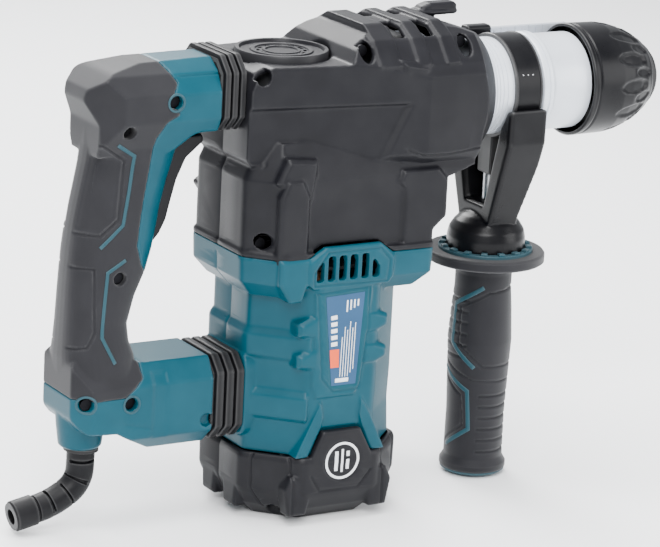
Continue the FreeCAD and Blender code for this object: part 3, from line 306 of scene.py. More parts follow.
FINISHES = {
    "casing_black": lambda c: moulded("charcoal casing", c.casing, 0.42),
    "casing_teal": lambda c: moulded("blue-green casing", c.body, 0.36, edge_wear_and_highlight=0.03, depth=0.00004),
    "grip_rubber": lambda c: moulded("grip rubber", c.grip, 0.62, grain=3200, depth=0.00009, edge_wear_and_highlight=0.05,
                                     Sheen_Weight=0.15),
    "rubber_black": lambda c: moulded("boot rubber", c.boot, 0.46, grain=1800, edge_wear_and_highlight=0.08),
    "chuck_black": lambda c: moulded("chuck plastic", c.chuck, 0.30, grain=1500, depth=0.00003, edge_wear_and_highlight=0.08),
    "teal_trim": lambda c: moulded("blue-green trim", c.trim, 0.40, edge_wear_and_highlight=0.04),
    "neck_metal": lambda c: painted("painted neck", c.neck, 0.34),
    "rod_grey": lambda c: painted("depth rod paint", (0.42, 0.45, 0.50), 0.42, turned=False),
    "cast_alloy": lambda c: cast("cast alloy", (0.085, 0.087, 0.092), 0.5),
    "steel_bright": lambda c: metal("bright steel", (0.62, 0.63, 0.65), 0.26, (1, 0.03, 0.03)),
    "steel_dark": lambda c: metal("dark steel", (0.16, 0.165, 0.18), 0.36, (0.03, 0.03, 1)),
    # The screws are painted near-black so that the screw recesses read dark: painted shade.
    "screw_hole_shade": lambda c: metal("screw darkened as hole shade", (0.012, 0.012, 0.014), 0.5, (1, 1, 1)),
    "zinc": lambda c: metal("zinc plate", (0.55, 0.56, 0.58), 0.33, (1, 1, 1)),
    "copper": lambda c: wound("copper wire", (0.72, 0.30, 0.14)),
    "carbon": lambda c: moulded("carbon brush", (0.02, 0.02, 0.022), 0.55, grain=900),
    "plate": lambda c: moulded("rating plate", c.label, 0.30, grain=1200, depth=0.00001, edge_wear_and_highlight=0.02),
    "badge": lambda c: moulded("orange block", c.badge, 0.35, grain=1200, depth=0.00001, edge_wear_and_highlight=0.02),
    "print": lambda c: moulded("white print", c.print_white, 0.40, grain=1500, depth=0.00001, edge_wear_and_highlight=0.0),
}
made = {}


def finish(name):
    """The material of that name, made once."""
    if name not in made:
        made[name] = FINISHES[name](colours())
    return made[name]


# ---- mesh kit, in millimetres until a piece is settled -------------------------------------------

PLACES = {
    "x": lambda u, v, w: (w, u, v),
    "y": lambda u, v, w: (u, w, v),
    "z": lambda u, v, w: (u, v, w),
}


def solid(points, faces, name="Blank"):
    """A mesh object from points and faces, with doubles joined and normals outward."""
    mesh = bpy.data.meshes.new(name)
    mesh.from_pydata([tuple(p) for p in points], [], [tuple(f) for f in faces])
    work = bmesh.new()
    work.from_mesh(mesh)
    bmesh.ops.remove_doubles(work, verts=work.verts, dist=1e-4)
    bmesh.ops.dissolve_degenerate(work, edges=work.edges, dist=1e-5)
    bmesh.ops.recalc_face_normals(work, faces=work.faces)
    work.to_mesh(mesh)
    work.free()
    thing = bpy.data.objects.new(name, mesh)
    bpy.context.scene.collection.objects.link(thing)
    return thing


def loft(rings, cyclic=False):
    """Skin over rings of points that all have the same count; closed back on itself if cyclic."""
    count = len(rings[0])
    points = [p for ring in rings for p in ring]
    faces = [] if cyclic else [range(count), range(len(points) - count, len(points))]
    total = len(rings)
    for r in range(total if cyclic else total - 1):
        near, far = r * count, (r + 1) % total * count
        for i in range(count):
            j = (i + 1) % count
            faces.append((near + i, near + j, far + j, far + i))
    return solid(points, faces)


def inset(outline, amount):
    """The outline moved inwards by amount, corner by corner; a corner's own radius shrinks with it."""
    count = len(outline)
    area = sum(outline[i - 1][0] * outline[i][1] - outline[i][0] * outline[i - 1][1] for i in range(count))
    turn = 1 if area > 0 else -1
    result = []
    for i in range(count):
        here = Vector(outline[i][:2])
        back = (here - Vector(outline[i - 1][:2])).normalized()
        ahead = (Vector(outline[(i + 1) % count][:2]) - here).normalized()
        first = Vector((-back.y, back.x)) * turn
        second = Vector((-ahead.y, ahead.x)) * turn
        move = (first + second) / max(0.35, 1 + first.dot(second))
        own = tuple(max(0.6, radius - amount) for radius in outline[i][2:])
        result.append(tuple(here + move * amount) + own)
    return result


def rounded(outline, radius, steps=5):
    """The outline with its corners rounded; a corner's third number is its own radius."""
    result, count = [], len(outline)
    for i in range(count):
        corner = outline[i]
        here = Vector(corner[:2])
        back = Vector(outline[i - 1][:2]) - here
        ahead = Vector(outline[(i + 1) % count][:2]) - here
        own = corner[2] if len(corner) > 2 else radius
        reach = min(own / math.tan(back.angle(ahead) / 2), 0.48 * back.length, 0.48 * ahead.length)
        start, end = here + back.normalized() * reach, here + ahead.normalized() * reach
        for s in range(steps + 1):
            t = s / steps
            result.append(tuple((1 - t) ** 2 * start + 2 * t * (1 - t) * here + t * t * end))
    return result


def prism(axis, outline, low, high):
    """The outline, drawn across the axis, pulled from low to high along it."""
    place = PLACES[axis]
    return loft([[place(u, v, w) for u, v, *_ in outline] for w in (low, high)])


def pillow(axis, outline, levels, radius=None):
    """Rings of the outline, one per (height, inset) level; corners rounded if a radius is given."""
    rings = []
    for height, amount in levels:
        ring = inset(outline, amount)
        if radius:
            ring = rounded(ring, max(0.6, radius - amount))
        rings.append([PLACES[axis](corner[0], corner[1], height) for corner in ring])
    return loft(rings)


def block(axis, outline, low, high, bevel):
    """A prism with bevelled ends."""
    low, high = sorted((low, high))
    return pillow(axis, outline, [(low, bevel), (low + bevel, 0), (high - bevel, 0), (high, bevel)])


def brick(x0, x1, y0, y1, z0, z1):
    """A plain box."""
    return prism("z", [(x0, y0), (x1, y0), (x1, y1), (x0, y1)], z0, z1)


def octagon(half, flat):
    """A square of that half width whose corners are cut; flat is half of what is left of a side."""
    return [(half, -flat), (half, flat), (flat, half), (-flat, half),
            (-half, flat), (-half, -flat), (-flat, -half), (flat, -half)]


def turned(axis, profile, centre=(0, 0, 0), segments=96, wave=None, step=None):
    """A closed profile of (way along, radius) turned about the axis through centre."""
    if step:
        profile = resampled(profile + profile[:1], step)[:-1]
    points, rows = [], len(profile)
    for k in range(segments):
        angle = 2 * math.pi * k / segments
        for along, radius in profile:
            r = wave(along, radius, angle) if wave and radius > 0 else radius
            u, v = r * math.cos(angle), r * math.sin(angle)
            spot = {"x": (along, u, v), "y": (u, along, v), "z": (u, v, along)}[axis]
            points.append(tuple(Vector(spot) + Vector(centre)))
    faces = []
    for k in range(segments):
        near, far = k * rows, (k + 1) % segments * rows
        for i in range(rows):
            j = (i + 1) % rows
            faces.append((near + i, near + j, far + j, far + i))
    return solid(points, faces)


def resampled(path, step):
    """The path with points added so that none are further apart than step."""
    result = [tuple(path[0])]
    for start, end in zip(path, path[1:]):
        a, b = Vector(start), Vector(end)
        count = max(1, math.ceil((b - a).length / step))
        result += [tuple(a.lerp(b, i / count)) for i in range(1, count + 1)]
    return result


def applied(thing):
    """Replaces the object's mesh by what its modifiers make of it."""
    bpy.context.view_layer.update()
    graph = bpy.context.evaluated_depsgraph_get()
    mesh = bpy.data.meshes.new_from_object(thing.evaluated_get(graph))
    old = thing.data
    thing.modifiers.clear()
    thing.data = mesh
    bpy.data.meshes.remove(old)
    return thing


def drop(*things):
    """Removes blanks that are no longer needed."""
    for thing in things:
        mesh = thing.data
        bpy.data.objects.remove(thing)
        bpy.data.meshes.remove(mesh)


def combined(target, tools, operation):
    """Applies one boolean after another, and removes the tools."""
    for tool in tools:
        cut = target.modifiers.new("Combine", "BOOLEAN")
        cut.operation, cut.solver, cut.object = operation, "MANIFOLD", tool
    applied(target)
    drop(*tools)
    return target


def carve(target, *tools):
    """The target less the tools."""
    return combined(target, tools, "DIFFERENCE")


def weld(target, *tools):
    """The target and the tools as one solid."""
    return combined(target, tools, "UNION")


def common(target, *tools):
    """What the target and all the tools share."""
    return combined(target, tools, "INTERSECT")


def copied(thing):
    """A copy with a mesh of its own."""
    twin = bpy.data.objects.new(thing.name, thing.data.copy())
    bpy.context.scene.collection.objects.link(twin)
    return twin


def joined(first, *others):
    """Several loose meshes as one object."""
    work = bmesh.new()
    for thing in (first, *others):
        work.from_mesh(thing.data)
    work.to_mesh(first.data)
    work.free()
    drop(*others)
    return first


def mould(thing, passes=4, detail=1.0):
    """Skins the solid evenly and softens its edges, as a mould does."""
    skin = thing.modifiers.new("Skin", "REMESH")
    skin.mode = "VOXEL"
    skin.voxel_size = mm(sizes().skin_detail) * detail * 1
    soften = thing.modifiers.new("Soften", "SMOOTH")
    soften.factor, soften.iterations = 0.5, passes
    return applied(thing)


def thinned(thing, share):
    """Fewer faces where the skin is nearly flat."""
    fewer = thing.modifiers.new("Thin", "DECIMATE")
    fewer.ratio = share
    return applied(thing)


def array(thing, what):
    """The vertices' positions or normals as rows of three."""
    values = np.empty(len(thing.data.vertices) * 3)
    thing.data.vertices.foreach_get(what, values)
    return values.reshape(-1, 3)


def nearest(points, path):
    """Distance of each 2-D point from the path."""
    best = np.full(len(points), 1e9)
    for start, end in zip(path, path[1:]):
        a, b = np.array(start, float), np.array(end, float)
        along = b - a
        t = np.clip((points - a) @ along / max(along @ along, 1e-9), 0, 1)
        best = np.minimum(best, np.linalg.norm(points - (a + t[:, None] * along), axis=1))
    return best


def within(points, outline):
    """Whether each 2-D point is inside the outline."""
    inside = np.zeros(len(points), bool)
    for i in range(len(outline)):
        (x0, y0), (x1, y1) = outline[i - 1], outline[i]
        crosses = (points[:, 1] < y0) != (points[:, 1] < y1)
        reach = (x1 - x0) * (points[:, 1] - y0) / ((y1 - y0) or 1e-9) + x0
        inside ^= crosses & (points[:, 0] < reach)
    return inside


def pushed(thing, amount):
    """Moves each point along its normal by its own amount."""
    moved = array(thing, "co") + array(thing, "normal") * amount[:, None]
    thing.data.vertices.foreach_set("co", moved.ravel())
    thing.data.update()
    return thing


def smooth_step(value):
    """0 below 0, 1 above 1, and an even curve in between."""
    value = np.clip(value, 0, 1)
    return value * value * (3 - 2 * value)


FLAT_PAIRS = {"x": (1, 2), "y": (0, 2), "z": (0, 1)}


def grooved(thing, axis, paths, width=None, depth=None, facing=0.3, side=0):
    """Presses grooves along paths drawn in the plane across the axis into the faces that look that way."""
    width = mm(sizes().seam_width) if width is None else width
    depth = mm(sizes().seam_depth) if depth is None else depth
    points, looks = array(thing, "co"), array(thing, "normal")
    number = "xyz".index(axis)
    flat = points[:, FLAT_PAIRS[axis]]
    amount = np.zeros(len(points))
    for path in paths:
        amount = np.maximum(amount, smooth_step(1.3 * (1 - nearest(flat, path) / (width / 2))))
    look = looks[:, number] * side if side else np.abs(looks[:, number])
    return pushed(thing, -depth * amount * smooth_step((look - facing) / 0.3))


def raised(thing, axis, outline, height, fall=1.5, facing=0.3, side=0):
    """Raises the area inside an outline, or lowers it where height is below 0."""
    points, looks = array(thing, "co"), array(thing, "normal")
    number = "xyz".index(axis)
    flat = points[:, FLAT_PAIRS[axis]]
    away = nearest(flat, list(outline) + [outline[0]])
    amount = np.where(within(flat, outline), smooth_step(away / fall), 0)
    look = looks[:, number] * side if side else np.abs(looks[:, number])
    return pushed(thing, height * amount * smooth_step((look - facing) / 0.3))


def settled(thing, name, body, skin, nodes=(), share=None, angle=None):
    """Turns a finished blank into a named piece: in metres, shaded, painted, and riding on its body."""
    if share:
        thinned(thing, share)
    thing.name = thing.data.name = name
    thing.data.transform(Matrix.Scale(MM, 4))
    thing.data.shade_smooth()
    if angle is not None:
        thing.data.set_sharp_from_angle(angle=math.radians(angle))
    thing.data.materials.clear()
    thing.data.materials.append(finish(skin))
    if body:
        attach(thing, body)
    if nodes:
        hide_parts(*nodes)
    return thing


def strip(path, width, rise, place, sunk=0.5, closed=False, step=1.0):
    """A raised strip along a flat path; place(u, v, height) puts it on a surface."""
    path = [Vector(p) for p in path]
    count = len(path)
    sides = []
    for i, here in enumerate(path):
        back = path[i - 1] if closed or i else None
        ahead = path[(i + 1) % count] if closed or i < count - 1 else None
        first = (here - back).normalized() if back is not None else (ahead - here).normalized()
        second = (ahead - here).normalized() if ahead is not None else first
        a, b = Vector((-first.y, first.x)), Vector((-second.y, second.x))
        sides.append((a + b) / max(0.4, 1 + a.dot(b)))
    spots = []
    pairs = list(zip(range(count), range(1, count))) + ([(count - 1, 0)] if closed else [])
    for i, j in pairs:
        parts = max(1, math.ceil((path[j] - path[i]).length / step))
        for k in range(parts):
            t = k / parts
            spots.append((path[i].lerp(path[j], t), sides[i].lerp(sides[j], t)))
    if not closed:
        spots.append((path[-1], sides[-1]))
    half = width / 2
    columns = [(-half, -sunk), (-half, 0.5 * rise), (-0.6 * half, rise), (0.6 * half, rise),
               (half, 0.5 * rise), (half, -sunk)]
    rings = []
    for here, side in spots:
        ring = [place(*(here + side * across), height) for across, height in columns]
        if all(p is not None for p in ring):
            rings.append(ring)
    return loft(rings, cyclic=closed) if len(rings) > 1 else None


def flank(thing, axis, side):
    """A placing function that drops points on the side of a piece that looks along the axis."""
    tree = BVHTree.FromPolygons([v.co.copy() for v in thing.data.vertices],
                                [tuple(p.vertices) for p in thing.data.polygons])
    put = PLACES[axis]
    away = Vector(put(0, 0, 400 * side))
    ray = Vector(put(0, 0, -side))

    def place(u, v, height):
        spot, normal, _, _ = tree.ray_cast(Vector(put(u, v, 0)) + away, ray)
        if spot is None:
            return None
        if normal.dot(ray) > 0:
            normal = -normal
        return spot + (normal * 0.5 - ray * 0.5).normalized() * height

    return place


def inlays(target, axis, paths, width, rise, sides=(-1, 1), closed=False):
    """Strips along the paths on both flanks of a piece, as one mesh."""
    strips = []
    for side in sides:
        place = flank(target, axis, side)
        strips += [strip(path, width, rise, place, closed=closed) for path in paths]
    return joined(*[s for s in strips if s])


def circle(u, v, radius, count=28, stretch=1.0):
    """Points on a circle, or on an oval that is stretched along v."""
    turns = [2 * math.pi * i / count for i in range(count)]
    return [(u + radius * math.cos(a), v + radius * stretch * math.sin(a)) for a in turns]


def bar(axis, low, high, radius, u, v, stretch=1.0, count=32):
    """A round or oval bar along the axis."""
    return prism(axis, circle(u, v, radius, count, stretch), min(low, high), max(low, high))


def cheek(outline, near, far, side):
    """A prism on one flank, between two distances from the middle plane."""
    return prism("y", outline, *sorted((side * near, side * far)))


# ---- the casing ----------------------------------------------------------------------------------

# Places in millimetres: x from the motor axis, y from the middle plane, z from the foot.
SIDES = (-1, 1)
UPPER_GUIDE, LOWER_GUIDE = 246, 61
NECK_RADIUS = 29
GREASE_X = -22.7
KNOB_X, KNOB_Z = -19, 195
LEVER_X, LEVER_Y = 79, 10
COVER_FOOT = 160
HEAD_REAR, HEAD_FRONT = -59, 50
HEAD_NARROW, HEAD_WIDE = 33, 48
COVER_SIDE = [
    (-59, 160), (-59, 256), (-55, 266), (-47, 270), (1, 270), (6, 277), (16, 284), (34, 287), (63, 287),
    (80, 284.5), (96, 279), (103, 277), (103, 207), (87, 207), (66, 200), (67, 177), (58, 170), (58, 160),
]
COVER_FRONT = [
    (-48, 160), (48, 160), (48, 261), (44, 268), (33, 281), (21, 287.5), (8, 290.5), (-8, 290.5),
    (-21, 287.5), (-33, 281), (-44, 268), (-48, 261),
]
HEAD_PLAN = [(HEAD_REAR, -HEAD_NARROW), (HEAD_FRONT, -HEAD_WIDE), (104, -HEAD_WIDE), (104, HEAD_WIDE),
             (HEAD_FRONT, HEAD_WIDE), (HEAD_REAR, HEAD_NARROW)]
SKIRT_PLAN = [(-59, -29, 9), (-43, -45, 9), (104, -45), (104, 45), (-43, 45, 9), (-59, 29, 9)]
SEAM_PLAN = [(-60, -30, 8), (-42, -49.5, 8), (58, -49.5, 4), (58, 49.5, 4), (-42, 49.5, 8), (-60, 30, 8)]
VENT_TRAPEZE = [(-26.5, 158), (-26.5, 160), (-16, 166.5), (21, 166.5), (29.5, 160), (29.5, 158)]
COVER_RECESSES = [(-50, 170, -31, 1.1), (-52, 216, -33, 1.1), (12, 276, -29, 1.35), (78, 276, -29, 1.35),
                  (-52, 265, -27, 1.25)]


def head_side(x):
    """Half width of the gear cover's head at x."""
    way = (min(x, HEAD_FRONT) - HEAD_REAR) * (HEAD_WIDE - HEAD_NARROW)
    return HEAD_NARROW + way / (HEAD_FRONT - HEAD_REAR)


def cover_core(shrink):
    """The gear cover's main volume, or its hollow when shrunk by the wall."""
    low = COVER_FOOT - 3 if shrink else COVER_FOOT
    side = [(u, low) if v == COVER_FOOT else (u, v) for u, v in COVER_SIDE]
    front = [(u, low) if v == COVER_FOOT else (u, v) for u, v in COVER_FRONT]
    body = prism("y", inset(side, shrink), -60, 60)
    head = pillow("z", inset(HEAD_PLAN, shrink), [(207 + shrink, 7), (216 + shrink, 0), (300, 0)])
    skirt = pillow("z", inset(SKIRT_PLAN, shrink), [(low - 6, 0), (205, 0), (226 - shrink, 9)], 6)
    cone = turned("x", [(-70, 0), (103 - shrink, 0), (103 - shrink, 35.5 - shrink), (88, 50 - shrink),
                        (82, 66), (82, 130), (-70, 130)], (0, 0, mm(sizes().axis_height)))
    for s in SIDES:
        outer = inset([(-70, 249), (46, 249), (30, 214), (-70, 214)], -shrink)
        inner = inset([(-70, 245), (36, 245), (21, 214), (-70, 214)], -shrink)
        head = carve(head, loft([
            [(u, s * (head_side(u) + 3), v) for u, v in outer],
            [(u, s * (head_side(u) - 2.4 - shrink), v) for u, v in inner]]))
    return common(body, prism("x", inset(front, shrink), -80, 110), weld(head, skirt), cone)


class HAMMER_OT_gear_cover(Operator):
    """Make the charcoal cover over the gears, with its vented crown and screw recesses"""
    bl_idname = "hammer.gear_cover"
    bl_label = "Gear cover"

    def execute(self, context):
        axis = mm(sizes().axis_height)
        shell = cover_core(0)
        crown = [(18, 31.5), (43.5, 51.5), (62.5, 71)]
        arches = [common(prism("x", inset(COVER_FRONT, -1.1), a, b),
                         prism("y", [(a - 1, 268), (b + 1, 268), (b + 1, 289), (a - 1, 289)], -60, 60))
                  for a, b in crown]
        ribs = []
        for s in SIDES:
            ribs += [
                block("y", [(-45.5, 157), (-45.5, 197), (-41, 207), (-31, 207), (-26, 197), (-26, 157)],
                      s * 40, s * 48.3, 1.6),
                block("y", [(-47, 205), (-40, 219), (-20, 217), (-23, 193), (-30, 190)], s * 36, s * 46.4,
                      2.2),
                block("y", [(37, 157), (37, 196), (33, 200), (36, 207), (60, 207), (66.5, 200), (66.5, 178),
                            (58, 170), (58, 157)], s * 38, s * 47.3, 1.5),
                block("y", [(33, 262), (50, 257.5), (52, 268), (31, 272)], s * 34, s * 46.5, 3.0),
            ]
        seam = pillow("z", SEAM_PLAN, [(160, 0), (163.4, 0)], 4)
        shell = weld(shell, seam, *arches, *ribs)
        cuts = [bar("y", -70, seat, 4.3, x, z, stretch) for x, z, seat, stretch in COVER_RECESSES]
        for x in (34, 53):
            for s in SIDES:
                vent = [(x, s * 31), (x + 7, s * 31), (x + 8.5, s * 9), (x + 1.5, s * 9)]
                cuts.append(prism("z", rounded(vent, 1.5), 268, 300))
        cuts += [cheek(inset(VENT_TRAPEZE, -0.3), 41, 60, s) for s in SIDES]
        cuts += [cover_core(mm(sizes().wall)), bar("x", 95, 110, NECK_RADIUS + 0.6, 0, axis, count=72),
                 bar("z", 266.6, 300, 28.2, GREASE_X, 0, count=72),
                 bar("z", 262, 300, 21, GREASE_X, 0, count=48), bar("z", 270, 300, 6.2, LEVER_X, LEVER_Y),
                 bar("y", 36, 60, 5.6, KNOB_X, KNOB_Z), bar("x", -70, -52, 4.4, 0, UPPER_GUIDE)]
        shell = mould(carve(shell, *cuts))
        shell = grooved(shell, "z", [[(-60, 0), (-50.5, 0)]], 1.6, 0.7, side=1)
        shell = grooved(shell, "x", [[(0, 150), (0, 232)], [(0, 262), (0, 272)]], 1.6, 0.8, side=-1)
        shell = grooved(shell, "y", [[(38, 219), (48, 214.5), (65, 214.5), (90, 218)]], 2.0, 0.9)
        settled(shell, "gear_cover", "tool_body", "casing_black", ("gear_cover_left", "gear_cover_right"),
                0.45)
        return {"FINISHED"}


class HAMMER_OT_motor_housing(Operator):
    """Make the blue-green housing round the motor, with its vents, ribs and the recess for the rating plate
    """
    bl_idname = "hammer.motor_housing"
    bl_label = "Motor housing"

    def execute(self, context):
        cap = mm(sizes().cap_height)
        seam = mm(sizes().seam_height)
        wall = mm(sizes().wall)
        column_plan = octagon(50, 22)
        column = pillow("z", column_plan, [(cap, 0.4), (cap + 22, 1.6), (cap + 40, 1.0), (seam - 5, 1.0)],
                        9)
        skirt = pillow("z", SEAM_PLAN, [(136, 9), (145.5, 0.6), (seam, 0)], 5)
        boot_seat = block("x", rounded([(-26, 49), (26, 49), (26, 100), (-26, 100)], 9), -52.0, -30, 0.8)
        ridges = []
        for low, high in ((62, 79), (98, 115)):
            ridges.append(common(
                pillow("z", inset(column_plan, -1.4), [(low, 1.6), (low + 2, 0), (high - 3, 0),
                                                       (high, 1.6)], 9),
                brick(-60, -23, -60, 60, low - 1, high + 1)))
        for s in SIDES:
            ridges.append(block("y", [(-45, 161), (-45, 146), (-38, 135), (-30, 135), (-26, 146),
                                      (-26, 161)],
                                s * 38, s * 50.6, 1.6))
            ridges.append(cheek(VENT_TRAPEZE, 44, 50, s))
            ridges.append(block("y", [(-27, 158), (-27, 146), (-23, 142), (27, 142), (30, 146), (30, 158),
                                      (21, 166.4), (-16, 166.4)], s * 42, s * 51.2, 0.9))
            ridges.append(block("y", [(-18, 76), (-21, 84), (-21, 139), (-16, 143), (16, 143), (17, 138),
                                      (12, 84), (8, 76)], s * 42, s * 50.4, 1.0))
            for z in (119, 100):
                ridges.append(block("y", rounded([(-31, z - 5), (-20, z - 7), (-16, z - 7), (-16, z + 7),
                                                  (-22, z + 7), (-31, z + 3)], 2), s * 34, s * 50.9, 2.6))
                ridges.append(block("y", rounded([(29, z - 3), (20, z - 7), (12, z - 7), (12, z + 7),
                                                  (20, z + 7), (29, z + 4)], 2), s * 34, s * 50.9, 2.6))
            rear_fin = [(-22, cap), (-14, 57), (-12, 64), (-14, 74), (-20, 62), (-30, cap)]
            front_fin = [(22, cap), (14, 57), (12, 64), (13, 74), (20, 62), (30, cap)]
            ridges += [cheek(rear_fin, 40, 50.6, s), cheek(front_fin, 40, 50.6, s)]
        body = weld(column, skirt, boot_seat, *ridges)
        slots = []
        for i in range(6):
            left = -21.5 + 7.4 * i
            heights = {0: (154, 159.5), 5: (159.5, 153)}.get(i, (161, 161))
            slots.append(prism("y", [(left, 146.5), (left + 4.6, 146.5), (left + 4.6, heights[1]),
                                     (left, heights[0])], -70, 70))
        cap_tab = [(-20.5, cap - 2), (-20.5, cap), (-13.5, 57), (12.5, 57), (20.5, cap), (20.5, cap - 2)]
        hollow = pillow("z", inset(column_plan, wall + 1), [(cap - 5, 0), (152, 0)], 6)
        skirt_hollow = pillow("z", inset(SEAM_PLAN, wall), [(150, 0), (172, 0)], 4)
        trapeze_hollow = [cheek(inset(VENT_TRAPEZE, 3), 40, 47.5, s) for s in SIDES]
        tabs = [cheek(inset(cap_tab, -0.3), 47.2, 60, s) for s in SIDES]
        body = carve(body, hollow, skirt_hollow, *trapeze_hollow, *slots, *tabs,
                     bar("x", -60, -40, 4.6, 0, LOWER_GUIDE))
        body = mould(body)
        plate_rim = [(-19.5, 139.5), (15, 140.8), (15, 118), (11, 79.5), (-7, 79.5), (-14.5, 88),
                     (-19.5, 139.5)]
        vent_rim = [(-23, 144.5), (-23, 151.5), (-14.5, 163.5), (20.5, 163.5), (27, 156), (26, 143.5),
                    (-23, 144.5)]
        body = grooved(body, "y", [plate_rim, vent_rim], 1.5, 0.8, facing=0.5)
        body = raised(body, "y", [(-15.2, 138), (12.6, 139), (9.2, 82), (-9, 82)], -0.5, 1.0, 0.5)
        body = grooved(body, "x", [[(0, 103), (0, 156)]], 1.4, 0.6, side=-1)
        settled(body, "motor_housing_skin", "tool_body", "casing_teal", ("motor_housing",), 0.42)
        return {"FINISHED"}


class HAMMER_OT_rating_plate(Operator):
    """Make the blank rating plates: a blue-grey field, an orange block and rows of plain bars"""
    bl_idname = "hammer.rating_plate"
    bl_label = "Rating plate"

    def execute(self, context):
        target = bpy.data.objects["motor_housing_skin"]
        context.view_layer.update()
        ghost = copied(target)
        ghost.data.transform(Matrix.Scale(1 / MM, 4) @ target.matrix_world)

        def sheet(side, corners, name, skin, rise):
            place = flank(ghost, "y", side)
            (a, b, c, d) = (Vector(p) for p in corners)
            across, along = 14, max(4, math.ceil((d - a).length / 2))
            points, faces = [], []
            for j in range(along + 1):
                left, right = a.lerp(d, j / along), b.lerp(c, j / along)
                for i in range(across + 1):
                    u, v = left.lerp(right, i / across)
                    points.append(place(u, v, rise))
            for j in range(along):
                for i in range(across):
                    k = j * (across + 1) + i
                    faces.append((k, k + 1, k + across + 2, k + across + 1))
            return settled(solid(points, faces), name, "tool_body", skin)

        for side, tag in ((-1, "near"), (1, "far")):
            sheet(side, [(-8, 83), (8.2, 83), (11.6, 138), (-14.2, 137)], "plate_field_" + tag, "plate",
                  0.12)
            sheet(side, [(-9.2, 94), (-3.6, 94), (-4.0, 105), (-10.2, 105)], "plate_badge_" + tag, "badge",
                  0.28)
            place = flank(ghost, "y", side)
            strips = [strip([(-7.2 - 0.05 * z, 107 + z), (-7.4 - 0.05 * z, 109.4 + z)], 4.2, 0.28, place,
                            0.3)
                      for z in (0, 4, 8, 12, 16)]
            ends = [(88, 112), (88, 118), (88, 116), (88, 121), (90, 117), (92, 120)]
            for i, (low, high) in enumerate(ends):
                u = -2.6 + 1.7 * i
                strips.append(strip([(u, low), (u + 0.5, high)], 0.5, 0.24, place, 0.3))
            for i in range(4):
                u = 0.2 + 2.4 * i
                strips.append(strip([(u, 127 + i), (u + 0.1, 134)], 1.0, 0.24, place, 0.3))
            strips.append(strip([(-5.6, 86), (3.2, 86)], 2.4, 0.26, place, 0.3))
            settled(joined(*strips), "plate_print_" + tag, "tool_body", "print")
        drop(ghost)
        return {"FINISHED"}


class HAMMER_OT_motor_cap(Operator):
    """Make the charcoal cap under the motor, with its feet, grooves and plain round badge"""
    bl_idname = "hammer.motor_cap"
    bl_label = "Motor cap"

    def execute(self, context):
        cap = mm(sizes().cap_height)
        plan = octagon(53, 25)
        body = pillow("z", plan, [(0, 15), (2.5, 12.5), (9, 5.5), (17, 1.4), (20, 0.3), (cap - 3, 0),
                                  (cap, 1.2)], 8)
        tab = [(-20, cap - 6), (-20, cap), (-13, 56.4), (12, 56.4), (20, cap), (20, cap - 6)]
        parts = []
        for s in SIDES:
            parts.append(block("y", tab, s * 47.4, s * 53.2, 0.9))
            for x in (-27, 27):
                parts.append(block("y", [(x - 6, 6), (x + 6, 6), (x + 9, 22), (x + 5, 30), (x - 5, 30),
                                         (x - 9, 22)],
                                   s * 40, s * 51.5, 1.5))
        parts += [block("x", [(y - 7, 5), (y + 7, 5), (y + 9, 24), (y - 9, 24)], s * 40, s * 52.4, 1.5)
                  for s in SIDES for y in (-13, 13)]
        body = weld(body, *parts)
        body = carve(body, pillow("z", inset(plan, 4.2), [(4, 12), (14, 4), (21, 0), (cap + 3, 0)], 6),
                     *[bar("z", -2, 14, 4.0, x, y) for x in (-32, 32) for y in (-32, 32)],
                     *[cheek(inset(tab, 4), 40, 46.9, s) for s in SIDES],
                     *[brick(x, x + 3, -30, 30, -1, 1.6) for x in (-24, -8, 8, 21)])
        body = mould(body)
        body = grooved(body, "y", [[(-31, 42), (-31, 8)], [(29, 42), (29, 8)],
                                   [(-20, 30), (-14, 20), (12, 20), (20, 30)]],
                       1.6, 0.9)
        body = grooved(body, "x", [[(-30, 42), (-30, 8)], [(30, 42), (30, 8)], [(0, 42), (0, 8)]], 1.6, 0.8)
        body = raised(body, "y", circle(0.5, 37.5, 13, 40), -0.4, 0.8, 0.6)
        settled(copied(body), "motor_cap_skin", "tool_body", "casing_black", ("motor_cap",), 0.42)
        strips = []
        for s in SIDES:
            place = flank(body, "y", s)
            strips += [strip(circle(0.5, 37.5, 10.6, 48), 1.5, 0.3, place, 0.3, closed=True),
                       strip([(-3.4, 31.5), (-3.4, 43.5)], 2.2, 0.3, place, 0.3),
                       strip([(0.5, 30.5), (0.5, 44.5)], 1.4, 0.3, place, 0.3),
                       strip([(4.2, 32), (4.2, 38)], 2.0, 0.3, place, 0.3),
                       strip([(4.2, 40), (4.2, 43)], 2.0, 0.3, place, 0.3)]
        settled(joined(*strips), "cap_badge", "tool_body", "print")
        drop(body)
        return {"FINISHED"}


class HAMMER_OT_grease_cap(Operator):
    """Make the round grease cap with its rim, inner ring and spanner slots"""
    bl_idname = "hammer.grease_cap"
    bl_label = "Grease cap"

    def execute(self, context):
        centre = centre_of("grease_cap") / MM
        low, high = span_of("grease_cap", "z")
        deck = high - 3.7
        disc = turned("z", [
            (low, 0), (low, 20), (deck - 3, 20), (deck - 3, 27.2), (high - 1, 27.4), (high, 26.8),
            (high, 24.8), (high - 1.7, 24.0), (high - 1.7, 18.6), (high - 0.9, 18.0), (high - 0.9, 15.8),
            (high - 1.7, 15.2), (high - 1.7, 11.4), (high - 1.1, 11.0), (high - 1.1, 9.6),
            (high - 1.9, 9.0), (high - 1.9, 0),
        ], (centre.x, centre.y, 0), 120)
        slots = []
        for k in range(12):
            a = 2 * math.pi * k / 12
            b = a + 0.30
            inner, outer = 12.6, 14.6
            slots.append(prism("z", [(centre.x + r * math.cos(t), centre.y + r * math.sin(t)) for r, t in
                                     ((inner, a), (outer, a), (outer, (a + b) / 2), (outer, b), (inner, b),
                                      (inner, (a + b) / 2))], high - 4, high + 2))
        disc = carve(disc, *slots)
        settled(disc, "grease_cap_disc", "grease_cap", "casing_black", ("grease_cap",), angle=35)
        return {"FINISHED"}


